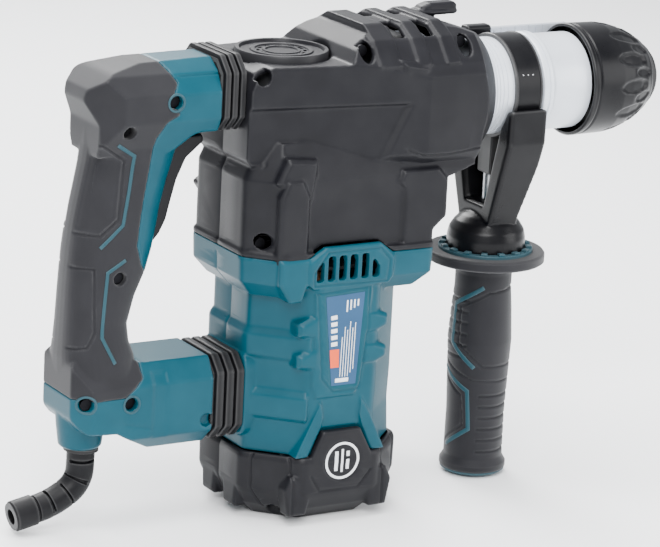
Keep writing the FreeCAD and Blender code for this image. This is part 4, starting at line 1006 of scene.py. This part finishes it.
class HAMMER_OT_selectors(Operator):
    """Make the lever on the crown and the pointer knob on the far side"""
    bl_idname = "hammer.selectors"
    bl_label = "Selectors"

    def execute(self, context):
        _, top = span_of("top_selector", "z")
        lever = block("z", rounded([(70, 5), (79, 3), (99, 4.5, 3), (99, 15.5, 3), (79, 17), (70, 15)], 3),
                      top - 7, top - 3.6, 1.2)
        grip_bar = block("y", [(72, top - 5), (75, top - 1.6), (80, top), (96.5, top + 0.2),
                               (98.5, top - 1.5), (98.5, top - 6), (72, top - 6)], 4.8, 15.2, 1.6)
        lever = weld(lever, grip_bar, bar("z", 275, top - 5, 5.6, LEVER_X, LEVER_Y))
        settled(mould(lever, 3, 0.7), "mode_lever", "top_selector", "casing_black", ("top_selector",), 0.5)
        middle = Vector((KNOB_X, 0, KNOB_Z))
        knob = turned("y", [(43, 0), (43, 5), (48.5, 5), (48.5, 24), (52.5, 24), (55, 21.5), (55, 18),
                            (53.8, 17), (53.8, 0)], middle, 96)
        lean = Matrix.Rotation(math.radians(-35), 4, "Y")
        turn = Matrix.Translation(middle) @ lean @ Matrix.Translation(-middle)
        pointer = block("y", rounded([(-48, 189.5), (-8, 190), (-1, 195), (-8, 200), (-48, 200.5)], 2), 50,
                        60.6, 1.6)
        pointer.data.transform(turn)
        settled(mould(weld(knob, pointer), 3, 0.8), "speed_knob", "side_selector", "casing_black",
                ("side_selector",), 0.5)
        return {"FINISHED"}


# ---- rear handle ---------------------------------------------------------------------------------

GRIP_SECTIONS = [
    # height, rear, front, half width
    (78, -157.0, -116, 22.5), (84, -159, -115.5, 23.5), (94, -159.6, -115, 23.5), (104, -160, -116, 21.5),
    (112, -159.6, -119, 19.2), (122, -159.2, -120, 17.4), (138, -158.6, -115.5, 17), (152, -158, -109, 17),
    (166, -157, -105, 17), (179, -155.4, -102.6, 17), (190, -153.6, -101, 17.2), (204, -150.8, -97.5, 17.4),
    (216, -148.4, -94, 17.8), (226, -147.2, -91.5, 19.0), (238, -147, -89, 21.0),
]
RUBBER_REGION = [
    (-170, 300), (-108, 300), (-108, 273), (-101, 262.5), (-106, 253.5), (-100, 245), (-108, 241),
    (-112.5, 231), (-114, 213), (-117, 194), (-119.5, 168), (-116, 157), (-110, 149), (-100, 147),
    (-100, 120), (-118, 108), (-116.5, 92), (-128, 82), (-146, 81.5), (-170, 84),
]
HANDLE_RECESSES = [(-103, 252, -20), (-130, 236, -15), (-130, 150, -11), (-152, 80, -20), (-124.6, 78, -20),
                   (-75.6, 63, -22)]
RINGED_RECESSES = (-103, -152, -124.6)
UPPER_STRIPE = [(-136, 229), (-124.5, 221.5), (-126.5, 202), (-129.5, 181.5), (-143, 169)]
LOWER_STRIPE = [(-127, 161), (-138, 154.5), (-141, 117), (-134, 102)]
PAD_SEAMS = [
    [(-164, 231), (-145, 229), (-130.5, 219.5), (-132.5, 185), (-143, 176), (-166, 178)],
    [(-166, 158), (-146, 157), (-145.5, 120), (-150, 112), (-166, 110)],
]


def superellipse(x0, x1, half, z, power=2.9, count=40):
    """A level ring between x0 and x1 that is squarer than an ellipse."""
    middle, reach = (x0 + x1) / 2, (x1 - x0) / 2
    ring = []
    for i in range(count):
        a = 2 * math.pi * i / count
        c, s = math.cos(a), math.sin(a)
        ring.append((middle + reach * math.copysign(abs(c) ** (2 / power), c),
                     half * math.copysign(abs(s) ** (2 / power), s), z))
    return ring


def handle_blank():
    """The handle's solid: the arm, the foot, the grip between them and the guard's boss."""
    arm = common(
        prism("y", rounded([(-74, 233, 1), (-74, 274, 1), (-120, 273, 14), (-140, 269, 14), (-153, 260, 3),
                            (-154.5, 254, 3), (-147, 240, 6), (-147, 221, 2), (-101, 221, 4),
                            (-88, 233, 12)], 3),
              -30, 30),
        prism("x", rounded([(-26, 241), (-17, 221), (17, 221), (26, 241), (26, 256.5), (20, 267.5),
                            (10, 274), (-10, 274), (-20, 267.5), (-26, 256.5)], 1.5), -170, -70),
        prism("z", rounded([(-70, -30), (-131, -28), (-146, -20), (-156, -11), (-156, 11), (-146, 20),
                            (-131, 28), (-70, 30)], 4), 215, 280))
    foot = common(
        prism("y", rounded([(-72, 47, 1), (-72, 100, 1), (-116, 100, 10), (-132, 106, 6), (-159.6, 105, 6),
                            (-159.4, 70, 6), (-152, 62, 6), (-133, 61, 3), (-108, 47, 3)], 3), -30, 30),
        prism("x", rounded([(-15, 47), (15, 47), (26, 57), (26, 88), (15, 106), (-15, 106), (-26, 88),
                            (-26, 57)],
                           3), -170, -60),
        prism("z", rounded([(-60, -30), (-148, -27), (-161, -17), (-161, 17), (-148, 27), (-60, 30)], 6),
              40, 110))
    grip = loft([superellipse(x0, x1, half, z) for z, x0, x1, half in GRIP_SECTIONS])
    boss = turned("z", [(48.2, 0), (48.2, 11), (49.6, 12.6), (61, 14.0), (72, 15), (72, 0)], (-144, 0, 0),
                  72)
    return weld(arm, foot, grip, boss)


def handle_hollows():
    """What is cut from the handle: recesses, spring rooms, the switch room and the trigger's slot."""
    recesses = [bar("y", -70, seat, 3.9, x, z) for x, z, seat in HANDLE_RECESSES]
    return recesses + [
        brick(-140, -77.2, -15, 15, 238, 264), brick(-150, -75.2, -18, 18, 66, 94),
        brick(-118, -75.2, -18, 18, 51.2, 70), bar("z", 40, 70, 7, -143, 0),
        prism("y", [(-142, 241), (-143, 227), (-151, 179), (-154, 150), (-150, 114), (-150, 86), (-130, 86),
                    (-130, 114), (-124, 138), (-118, 160), (-116, 241)], -12, 12),
        prism("y", [(-134, 166), (-97, 166), (-84, 200), (-72, 228), (-72, 232), (-96, 235), (-134, 226)],
              -9.5, 9.5),
        bar("x", -85, -70, 4.6, 0, UPPER_GUIDE), bar("x", -85, -70, 4.6, 0, LOWER_GUIDE),
    ]


class HAMMER_OT_rear_handle(Operator):
    """Make the rear handle: its blue-green core, the rubber overmould, thin stripes and recess rings"""
    bl_idname = "hammer.rear_handle"
    bl_label = "Rear handle"

    def execute(self, context):
        blank = handle_blank()
        rounded_blank = mould(copied(blank), 5, 1.3)
        shell = carve(blank, *handle_hollows())
        rubber = common(copied(shell), prism("y", RUBBER_REGION, -40, 40))
        core = carve(shell, prism("y", inset(RUBBER_REGION, 0.15), -40, 40))
        core = mould(core, 4)
        core = grooved(core, "y", [[(-74, 266), (-100, 266)], [(-128, 66), (-110, 62)]], 1.4, 0.5)
        core = raised(core, "y", [(-112, 96), (-112, 54), (-100, 50), (-100, 96)], -0.7, 3, 0.6)
        settled(core, "handle_core", "rear_handle", "casing_teal",
                ("rear_handle_left", "rear_handle_right"), 0.5)
        rubber = mould(rubber, 4)
        rubber = grooved(rubber, "y", PAD_SEAMS, 1.8, 0.9, facing=0.1)
        rubber = raised(rubber, "y", [(-170, 230), (-146, 228), (-132, 219), (-134, 186), (-144, 178),
                                      (-170, 180)],
                        -0.5, 2, 0.1)
        settled(rubber, "handle_grip", "rear_handle", "grip_rubber", (), 0.5)
        width, rise = mm(sizes().stripe_width), mm(sizes().stripe_rise)
        stripes = inlays(rounded_blank, "y", [UPPER_STRIPE, LOWER_STRIPE], width, rise + 0.2)
        settled(stripes, "handle_stripes", "rear_handle", "teal_trim")
        ringed = [circle(x, z, 4.9) for x, z, _ in HANDLE_RECESSES if x in RINGED_RECESSES]
        rings = inlays(rounded_blank, "y", ringed,
                       1.3, rise + 0.2, sides=(-1,), closed=True)
        settled(rings, "recess_rings", "rear_handle", "teal_trim")
        drop(rounded_blank)
        return {"FINISHED"}


class HAMMER_OT_trigger(Operator):
    """Make the trigger paddle"""
    bl_idname = "hammer.trigger"
    bl_label = "Trigger"

    def execute(self, context):
        outline = [(-117, 170), (-106, 167), (-101.5, 172), (-97.5, 180), (-95, 190), (-91.5, 203),
                   (-86, 215), (-75, 224), (-76, 229), (-95, 229), (-106, 210), (-111, 190)]
        paddle = pillow("y", rounded(outline, 3, 4), [(-9, 1.6), (-8, 0.5), (-6, 0), (6, 0), (8, 0.5),
                                                      (9, 1.6)])
        paddle = weld(paddle, bar("y", -11.5, 11.5, 2.5, -113, 172))
        paddle = mould(paddle, 3, 0.7)
        paddle = grooved(paddle, "x", [[(-6, 182 + 5 * i), (6, 182 + 5 * i)] for i in range(6)], 1.4, 0.5,
                         side=1)
        settled(paddle, "trigger_paddle", "trigger", "chuck_black", ("trigger",), 0.5)
        return {"FINISHED"}


class HAMMER_OT_boots(Operator):
    """Make the ribbed rubber boots between the handle and the casing"""
    bl_idname = "hammer.boots"
    bl_label = "Rubber boots"

    def execute(self, context):
        for node in ("upper_bellows", "lower_bellows"):
            low, high = corners_of(node)
            half, bottom, top = high.y, low.z, high.z
            section = rounded([(-half, bottom + 9), (9 - half, bottom), (half - 9, bottom),
                               (half, bottom + 9), (half, top - 9), (half - 9, top), (9 - half, top),
                               (-half, top - 9)], 4)
            levels, ribs, span = [], 3, (high.x - low.x) / 3
            for k in range(ribs):
                start = low.x + k * span
                for share, depth in ((0.0, 2.4), (0.16, 2.4), (0.20, 0.9), (0.26, 0.1), (0.32, 0.0),
                                     (0.5, -0.1), (0.84, 0.0), (0.92, 0.3), (0.98, 1.2)):
                    levels.append((start + share * span, max(0, depth)))
            levels.append((high.x, 2.4))
            outside = [[PLACES["x"](u, v, w) for u, v in inset(section, amount)] for w, amount in levels]
            inside = [[PLACES["x"](u, v, w) for u, v in inset(section, amount + 2.4)]
                      for w, amount in levels]
            boot = loft(outside + inside[::-1], cyclic=True)
            tag = node.split("_")[0]
            settled(boot, tag + "_boot", None, "rubber_black", (node,), angle=50)
            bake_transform(boot)
        return {"FINISHED"}


class HAMMER_OT_cable_guard(Operator):
    """Make the slotted rubber guard that the mains lead would leave through"""
    bl_idname = "hammer.cable_guard"
    bl_label = "Cable guard"

    def execute(self, context):
        corners = [(-143, 47.8), (-143.5, 26), (-161, 15), (-186, 10.2)]
        path = resampled(self.bent(corners), 0.7)
        total = len(path)
        rings_out, rings_in = [], []
        body, bore, pitch, first_slot, count = 8.2, 4.6, 11.5, 7, 48
        run = 0.0
        for i, here in enumerate(path):
            ahead, back = Vector(path[min(i + 1, total - 1)]), Vector(path[max(i - 1, 0)])
            along = (ahead - back).normalized()
            across = Vector((-along.y, along.x))
            run += (Vector(here) - back).length if i else 0
            left = (total - 1 - i) * 0.68
            outer, inner = [], []
            for k in range(count):
                a = 2 * math.pi * k / count
                collar = (0.8 if left < 14 else 0) - (0.9 if left < 1 else 0)
                radius = body + collar + (2.0 if run < 2.2 else 0)
                phase = (run - first_slot) % pitch
                lean = 0.9 if int((run - first_slot) // pitch) % 2 else 0
                slot = 5 < run and left > 16 and phase < 1.6 and abs(math.sin(a + lean)) > 0.35
                groove = 14 < left < 15.2
                radius -= (1.9 if slot else 0) + (0.8 if groove else 0)
                c, s = math.cos(a), math.sin(a)
                for ring, r in ((outer, radius), (inner, bore)):
                    ring.append((here[0] + across.x * r * c, r * s, here[1] + across.y * r * c))
            rings_out.append(outer)
            rings_in.append(inner)
        guard = loft(rings_out + rings_in[::-1], cyclic=True)
        settled(guard, "cable_guard_boot", "rear_handle", "rubber_black", ("cable_guard",), angle=40)
        return {"FINISHED"}

    @staticmethod
    def bent(corners):
        """The corners joined by straight runs and smooth bends."""
        points = [corners[0]]
        for before, here, after in zip(corners, corners[1:], corners[2:]):
            here, back, ahead = Vector(here), Vector(before) - Vector(here), Vector(after) - Vector(here)
            reach = 0.47 * min(back.length, ahead.length)
            start, end = here + back.normalized() * reach, here + ahead.normalized() * reach
            points += [tuple((1 - t) ** 2 * start + 2 * t * (1 - t) * here + t * t * end)
                       for t in (k / 12 for k in range(13))]
        return points + [corners[-1]]


# ---- neck, side handle and chuck -----------------------------------------------------------------

class HAMMER_OT_neck(Operator):
    """Make the painted metal neck with its turned ridges"""
    bl_idname = "hammer.neck"
    bl_label = "Neck"

    def execute(self, context):
        axis = mm(sizes().axis_height)
        low, high = span_of("barrel_housing", "x")
        radius = NECK_RADIUS
        profile = [(low, 23), (low, 36), (low + 8, 36), (low + 8, radius), (104, radius)]
        for x in (105.5, 107.5, 109.5, 112, 115):
            profile += [(x, radius), (x + 0.3, radius - 0.5), (x + 0.8, radius - 0.5), (x + 1.1, radius)]
        profile += [(140.2, radius), (140.5, radius + 1.6), (141.2, radius + 2), (143.2, radius + 2),
                    (143.6, radius + 1.3), (144.4, radius + 1.3), (144.8, radius + 2), (146.8, radius + 2),
                    (148.2, radius + 0.9), (150, radius + 0.1), (high - 1.2, radius), (high, radius - 1.2),
                    (high, 17), (high - 5, 17), (high - 5, 23)]
        neck = turned("x", profile, (0, 0, axis), 160)
        settled(neck, "neck_sleeve", "tool_body", "neck_metal", ("barrel_housing",), angle=30)
        return {"FINISHED"}


class HAMMER_OT_side_handle(Operator):
    """Make the side handle's band, yoke, rod clip and depth rod"""
    bl_idname = "hammer.side_handle"
    bl_label = "Side handle mount"

    def execute(self, context):
        axis, station = mm(sizes().axis_height), mm(sizes().grip_station)
        low, high = corners_of("clamp_band")
        start, end = low.x, high.x
        band = turned("x", [
            (start, 29.1), (start, 30.9), (start + 0.6, 31.3), (start + 1.6, 31.3), (start + 2.0, 30.9),
            (end - 2.0, 30.9), (end - 1.6, 31.3), (end - 0.6, 31.3), (end, 30.9), (end, 29.1)],
            (0, 0, axis), 144)
        lug = block("x", rounded([(-7, low.z), (7, low.z), (7, axis - 29.6), (-7, axis - 29.6)], 1.5),
                    station - 5, station + 5, 0.8)
        dots = []
        for i in range(3):
            a = math.radians(-158)
            spot = Vector((start + 5.5 + 3.4 * i, 30.7 * math.cos(a), axis - 30.7 * math.sin(a)))
            dots.append(turned("y", [(-0.4, 0), (-0.4, 0.45), (0.5, 0.35), (0.5, 0)], spot, 12))
        settled(joined(band, lug), "clamp_band_ring", "side_handle", "chuck_black", ("clamp_band",),
                angle=30)
        settled(joined(*dots), "band_pins", "side_handle", "steel_bright")
        cup_low, top = span_of("handle_yoke", "z")
        rear, front, shoulder = start - 5.4, end + 2, top - 7
        arms = pillow("x", [(-35, shoulder), (-35, shoulder - 20), (-17, cup_low + 17), (17, cup_low + 17),
                            (35, shoulder - 20), (35, shoulder)],
                      [(rear, 1.6), (rear + 1.6, 0), (front - 1.6, 0), (front, 1.6)])
        window = pillow("x", [(-23, top - 17), (-9, cup_low + 30), (9, cup_low + 30), (23, top - 17)],
                        [(rear - 1, -2.5), (rear + 3, 0), (front - 7, 1.5)])
        cup = turned("z", [(cup_low, 0), (cup_low, 23.8), (cup_low + 8, 23.7), (cup_low + 13, 22.6),
                           (cup_low + 17.5, 19.6), (cup_low + 21, 15.5), (cup_low + 24, 10),
                           (cup_low + 25, 0)],
                     (station, 0, 0), 96)
        rib = block("x", [(-19, cup_low + 20), (-28, top - 22), (-24, top - 22), (-14, cup_low + 20)],
                    front - 4, front, 0.8)
        rib_far = block("x", [(19, cup_low + 20), (28, top - 22), (24, top - 22), (14, cup_low + 20)],
                        front - 4, front, 0.8)
        taper = prism("y", [(rear - 1, top + 1), (front + 1, top + 1), (front + 1, top - 28),
                            (station + 10, cup_low + 24), (station + 10, cup_low), (rear - 1, cup_low)],
                      -40, 40)
        yoke = carve(weld(common(weld(arms, rib, rib_far), taper), cup), window,
                     bar("x", 100, 150, 31.7, 0, axis, count=96),
                     bar("z", cup_low - 2, cup_low + 60, 4.2, station, 0))
        yoke = mould(yoke, 4, 0.9)
        settled(yoke, "yoke", "side_handle", "chuck_black", ("handle_yoke",), 0.45)
        clow, chigh = corners_of("rod_clip")
        dlow, dhigh = corners_of("depth_rod")
        clip = block("x", rounded([(clow.y, clow.z), (chigh.y, clow.z), (chigh.y, chigh.z),
                                   (clow.y, chigh.z)], 2.5),
                     clow.x, chigh.x, 0.8)
        clip = carve(clip, brick(clow.x - 2, chigh.x + 2, dlow.y - 0.1, dhigh.y + 0.1, dlow.z - 0.1,
                                 dhigh.z + 0.1),
                     bar("x", 100, 150, 31.5, 0, axis, count=96))
        settled(mould(clip, 2, 0.6), "depth_rod_clip", "side_handle", "chuck_black", ("rod_clip",), 0.6)
        rod = block("x", rounded([(dlow.y, dlow.z), (dhigh.y, dlow.z), (dhigh.y, dhigh.z),
                                  (dlow.y, dhigh.z)], 0.7, 3),
                    dlow.x, dhigh.x, 0.6)
        marks = [brick(dlow.x + 18 + 5 * i, dlow.x + 18.7 + 5 * i, dlow.y - 1, dlow.y + 0.35,
                       dlow.z + (2 if i % 2 else 0.5), dhigh.z - (2 if i % 2 else 0.5)) for i in range(13)]
        settled(carve(rod, *marks), "depth_stop_rod", "depth_rod", "rod_grey", ("depth_rod",), angle=30)
        return {"FINISHED"}


PAD_MIDDLE = math.radians(-40)
RIDGES = (16.4, 23.6, 30.7, 37.8, 44.9, 52.0)
UPPER_RIDGES = (76, 83, 90, 97, 104, 111)
CHEVRON_HIGH = [(80, 120.5), (142, 108), (140, 84), (90, 70)]
CHEVRON_LOW = [(165, 67), (101, 55), (95, 31), (150, 18)]
PAD_HIGH = [(0, 119), (68, 117), (126, 107), (124, 84.5), (75, 71), (0, 71)]
PAD_LOW = [(180, 66), (115, 52), (108, 33), (172, 16)]


def turn_apart(a, b):
    """The smaller angle between two headings."""
    return abs((a - b + math.pi) % (2 * math.pi) - math.pi)


class HAMMER_OT_side_grip(Operator):
    """Make the side grip, its end cap, the notched lock ring and the inlaid chevrons"""
    bl_idname = "hammer.side_grip"
    bl_label = "Side grip"

    def execute(self, context):
        station = mm(sizes().grip_station)
        low, high = span_of("side_grip", "z")
        radius = 18
        base = [(low, 0), (low, 19.6), (low + 1.2, 20.3), (low + 4, 20.3), (low + 5.4, 19.4),
                (low + 8, radius), (40, 17.8), (62, 18.6), (85, 19.5), (104, 18.4), (118, 17.2),
                (high - 14, 17.2), (high - 9, 18.6), (high - 7, 22), (high - 6.4, 35.0), (high - 5.6, 36.1),
                (high - 1.2, 36.1), (high, 35.2), (high, 4.3), (high - 70, 4.3), (high - 70, 0)]
        shape = [(z, r) for z, r in base if low + 5 < z < high - 6.5 and r > 10]
        heights, radii = [z for z, _ in shape], [r for _, r in shape]

        def ridge_wave(along, r, angle):
            if r < 10 or r > 21:
                return r
            near = turn_apart(angle, PAD_MIDDLE)
            for rows, inside in ((RIDGES, near < math.radians(78)),
                                 (UPPER_RIDGES, near > math.radians(106))):
                if inside:
                    gap = min(abs(along - z) for z in rows)
                    r -= 1.0 * float(smooth_step(1.4 - gap / 0.85))
            return r

        grip = turned("z", base, (station, 0, 0), 168, ridge_wave, step=0.8)
        points = array(grip, "co")
        spin = np.arctan2(points[:, 1], points[:, 0] - station)
        reach = np.hypot(points[:, 1], points[:, 0] - station)
        mirrored = np.abs((spin - PAD_MIDDLE + math.pi) % (2 * math.pi) - math.pi)
        flat = np.stack([mirrored * radius, points[:, 2]], axis=1)

        def flattened(path):
            return [(math.radians(a) * radius, z) for a, z in path]

        grooves = [flattened(path) for path in (PAD_HIGH, PAD_LOW, [(180, 74), (93, 62), (0, 61)])]
        amount = np.zeros(len(points))
        for path in grooves:
            amount = np.maximum(amount, smooth_step(1.3 * (1 - nearest(flat, path) / 0.9)))
        outer = (reach > 15) & (reach < 21) & (points[:, 2] > low + 9) & (points[:, 2] < high - 12)
        grip = pushed(grip, -0.8 * amount * outer)
        settled(grip, "side_grip_body", "side_grip", "grip_rubber", ("side_grip",), angle=60)

        def place(sign):
            def on_grip(u, v, height):
                r = float(np.interp(v, heights, radii)) + height
                a = PAD_MIDDLE + sign * u / radius
                return Vector((station + r * math.cos(a), r * math.sin(a), v))
            return on_grip

        strips = [strip(flattened(path), 2.6, 0.35, place(sign), 0.6)
                  for sign in SIDES for path in (CHEVRON_HIGH, CHEVRON_LOW)]
        settled(joined(*strips), "grip_chevrons", "side_grip", "teal_trim")
        end_low, end_high = span_of("grip_cap", "z")
        cap = turned("z", [(end_low, 0), (end_low, 16.4), (end_low + 0.7, 18.2), (end_high - 0.5, 19.8),
                           (end_high, 19.8), (end_high, 0)], (station, 0, 0), 96)
        settled(cap, "grip_end_cap", "side_grip", "teal_trim", ("grip_cap",), angle=30)
        ring_low, ring_high = span_of("lock_ring", "z")
        ring = turned("z", [(ring_low, 24.5), (ring_low, 28.6), (ring_high - 2.0, 28.6),
                            (ring_high - 1.4, 28.2), (ring_high - 1.4, 24.5)], (station, 0, 0), 144)
        teeth = []
        for k in range(16):
            a = 2 * math.pi * (k + 0.5) / 16
            tooth = block("z", [(24.6, -1.9), (28.0, -1.9), (28.0, 1.9), (24.6, 1.9)], ring_low + 1,
                          ring_high, 0.35)
            tooth.data.transform(Matrix.Translation((station, 0, 0)) @ Matrix.Rotation(a, 4, "Z"))
            teeth.append(tooth)
        settled(weld(ring, *teeth), "lock_ring_wheel", "side_grip", "teal_trim", ("lock_ring",), angle=30)
        return {"FINISHED"}


SLEEVE_STOP = 189.5


class HAMMER_OT_chuck(Operator):
    """Make the quick-change sleeve with its lens-shaped flutes, and the dust cap in front of it"""
    bl_idname = "hammer.chuck"
    bl_label = "Chuck"

    def execute(self, context):
        axis = mm(sizes().axis_height)
        low, high = span_of("chuck_sleeve", "x")
        flutes = 12

        def lens(along, r, angle):
            if r < 20:
                return r
            pitch = 2 * math.pi / flutes
            for shift, middle, reach, wide, deep in ((0, low + 31, 12, 4.6, 1.5),
                                                     (0.5, low + 39, 7.5, 3.4, 1.3)):
                gap = ((angle / pitch + shift + 0.5) % 1 - 0.5) * pitch * r
                inside = 1 - (gap / wide) ** 2 - ((along - middle) / reach) ** 2
                if inside > 0:
                    r -= deep * min(1, inside * 2.2)
            return r

        profile = [
            (low, 32.1), (low, 33.2), (low + 0.8, 34), (low + 3.2, 34), (low + 3.8, 33.4),
            (low + 4.6, 33.4), (low + 5.2, 33.9), (low + 22, 33.6), (low + 30, 32.2), (low + 37, 30),
            (low + 43.5, 26.6), (low + 47, 24.2), (high - 1.2, 23.6), (high, 22.6), (high, 16.6),
            (high - 8, 16.6), (high - 8, 13.1), (SLEEVE_STOP, 13.1),
            (SLEEVE_STOP, 32.1)]
        sleeve = turned("x", profile, (0, 0, axis), 240, lens, step=0.9)
        settled(sleeve, "chuck_grip", "chuck_sleeve", "chuck_black", ("chuck_sleeve",), angle=50)
        dlow, dhigh = span_of("dust_cap", "x")
        cap = turned("x", [
            (dlow, 12.6), (dlow, 19.4), (dlow + 0.6, 20), (dlow + 1.9, 20), (dlow + 2.3, 19.3),
            (dlow + 2.8, 19.3), (dlow + 3.2, 18.8), (dhigh - 1, 17.4), (dhigh, 16.6), (dhigh, 14.6),
            (dhigh - 0.6, 14.2), (dhigh - 0.6, 12.6)], (0, 0, axis), 120)
        settled(cap, "dust_boot", "spindle", "rubber_black", ("dust_cap",), angle=30)
        return {"FINISHED"}


# ---- CAD nodes that stay, and the stage ----------------------------------------------------------

KEPT_FINISHES = {
    "zinc": ("clamp_stud", "damper_guides"),
    # Screws painted near-black as the shade inside their recesses.
    "screw_hole_shade": ("cover_screws", "cap_screws", "handle_screws"),
    "steel_bright": ("spindle", "armature_shaft", "wrist_pin", "striker", "beat_piece", "locking_balls",
                     "crank_pin", "damper_springs", "chuck_spring", "motor_top_bearing",
                     "motor_bottom_bearing", "crank_bearing", "layshaft_bearing", "spindle_bearing",
                     "crank_shaft"),
    "steel_dark": ("rotor_core", "stator", "crank_gear", "bevel_pinion", "layshaft_gear",
                   "bevel_ring_gear"),
    "cast_alloy": ("gear_case", "piston", "connecting_rod"),
    "copper": ("rotor_windings", "commutator"),
    "carbon": ("carbon_brushes",),
    "rubber_black": ("spindle_seal", "piston_ring"),
    "casing_black": ("brush_holders", "fan", "switch"),
}


class HAMMER_OT_inner_parts(Operator):
    """Finish the parts of the frame that stay as they are: screws, bearings, gears, motor and striker"""
    bl_idname = "hammer.inner_parts"
    bl_label = "Inner parts"

    def execute(self, context):
        for skin, nodes in KEPT_FINISHES.items():
            for node in nodes:
                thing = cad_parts[node]
                thing.data.materials.clear()
                thing.data.materials.append(finish(skin))
        return {"FINISHED"}


def area_light(name, spot, target, size, power):
    """A round soft light that faces the target."""
    light = bpy.data.lights.new(name, "AREA")
    light.shape, light.size, light.energy = "DISK", size, power
    lamp = bpy.data.objects.new(name, light)
    bpy.context.scene.collection.objects.link(lamp)
    lamp.location = spot
    lamp.rotation_euler = (Vector(target) - Vector(spot)).to_track_quat("-Z", "Y").to_euler()
    return lamp


class HAMMER_OT_stage(Operator):
    """Set the camera, the pale floor and soft studio light"""
    bl_idname = "hammer.stage"
    bl_label = "Stage"

    def execute(self, context):
        azimuth, elevation, roll = (math.radians(a) for a in (-30.72, 15.41, 2.91))
        back = Vector((math.sin(azimuth) * math.cos(elevation), -math.cos(azimuth) * math.cos(elevation),
                       math.sin(elevation)))
        right = Vector((math.cos(azimuth), math.sin(azimuth), 0))
        up = back.cross(right)
        across = right * math.cos(roll) + up * math.sin(roll)
        upward = up * math.cos(roll) - right * math.sin(roll)
        target = Vector((0.01715, 0, 0.13508))
        camera = bpy.data.cameras.new("Camera")
        camera.lens, camera.sensor_width = 188.44, 36
        eye = bpy.data.objects.new("Camera", camera)
        context.scene.collection.objects.link(eye)
        distance = 2.0376
        spot = target + back * distance
        eye.matrix_world = Matrix.Translation(spot) @ Matrix((across, upward, back)).transposed().to_4x4()
        context.scene.camera = eye
        middle = Vector((0.02, 0, 0.14))
        area_light("Key", (-0.9, -1.5, 1.5), middle, 1.3, 62)
        area_light("Fill", (1.5, -1.3, 0.7), middle, 1.4, 26)
        area_light("Rim", (0.2, 1.4, 1.2), middle, 1.0, 40)
        area_light("Top", (-0.2, 0.0, 2.0), middle, 1.6, 80)
        world = bpy.data.worlds.new("Studio")
        world.use_nodes = True
        sky = world.node_tree.nodes["Background"]
        sky.inputs["Color"].default_value = (0.95, 0.97, 1.0, 1)
        sky.inputs["Strength"].default_value = 1.0
        context.scene.world = world
        half = 6.0
        floor = solid([(-half, -half, 0), (half, -half, 0), (half, half, 0), (-half, half, 0)],
                      [(0, 1, 2, 3)])
        floor.name = floor.data.name = "floor"
        floor.location.z = -0.0002
        skin = Finish("floor", colours().floor, 0.7)
        cloud = skin.noise(2.0, 2)
        skin.set("Base Color", skin.mix(cloud, tuple(colours().floor), paler(tuple(colours().floor), 0.3)))
        floor.data.materials.append(skin.material)
        return {"FINISHED"}


PIECES = (
    HAMMER_OT_stage, HAMMER_OT_inner_parts, HAMMER_OT_gear_cover, HAMMER_OT_motor_housing,
    HAMMER_OT_rating_plate, HAMMER_OT_motor_cap, HAMMER_OT_grease_cap, HAMMER_OT_selectors,
    HAMMER_OT_rear_handle, HAMMER_OT_trigger, HAMMER_OT_boots, HAMMER_OT_cable_guard, HAMMER_OT_neck,
    HAMMER_OT_side_handle, HAMMER_OT_side_grip, HAMMER_OT_chuck,
)


class HAMMER_PT_pieces(Panel):
    """Lists the hammer's sizes, colours and pieces"""
    bl_idname = "HAMMER_PT_pieces"
    bl_label = "Demolition hammer"
    bl_space_type = "VIEW_3D"
    bl_region_type = "UI"
    bl_category = "Hammer"

    def draw(self, context):
        for group in (context.scene.hammer_sizes, context.scene.hammer_colours):
            box = self.layout.box()
            for name in group.bl_rna.properties.keys():
                if name not in ("rna_type", "name"):
                    box.prop(group, name)
        for piece in PIECES:
            self.layout.operator(piece.bl_idname)


CLASSES = (HammerSizes, HammerColours, *PIECES, HAMMER_PT_pieces)


def register():
    for item in CLASSES:
        bpy.utils.register_class(item)
    bpy.types.Scene.hammer_sizes = PointerProperty(type=HammerSizes)
    bpy.types.Scene.hammer_colours = PointerProperty(type=HammerColours)


def unregister():
    del bpy.types.Scene.hammer_colours
    del bpy.types.Scene.hammer_sizes
    for item in reversed(CLASSES):
        bpy.utils.unregister_class(item)


def main():
    register()
    for piece in PIECES:
        group, name = piece.bl_idname.split(".")
        getattr(getattr(bpy.ops, group), name)()


if __name__ == "__main__":
    main()
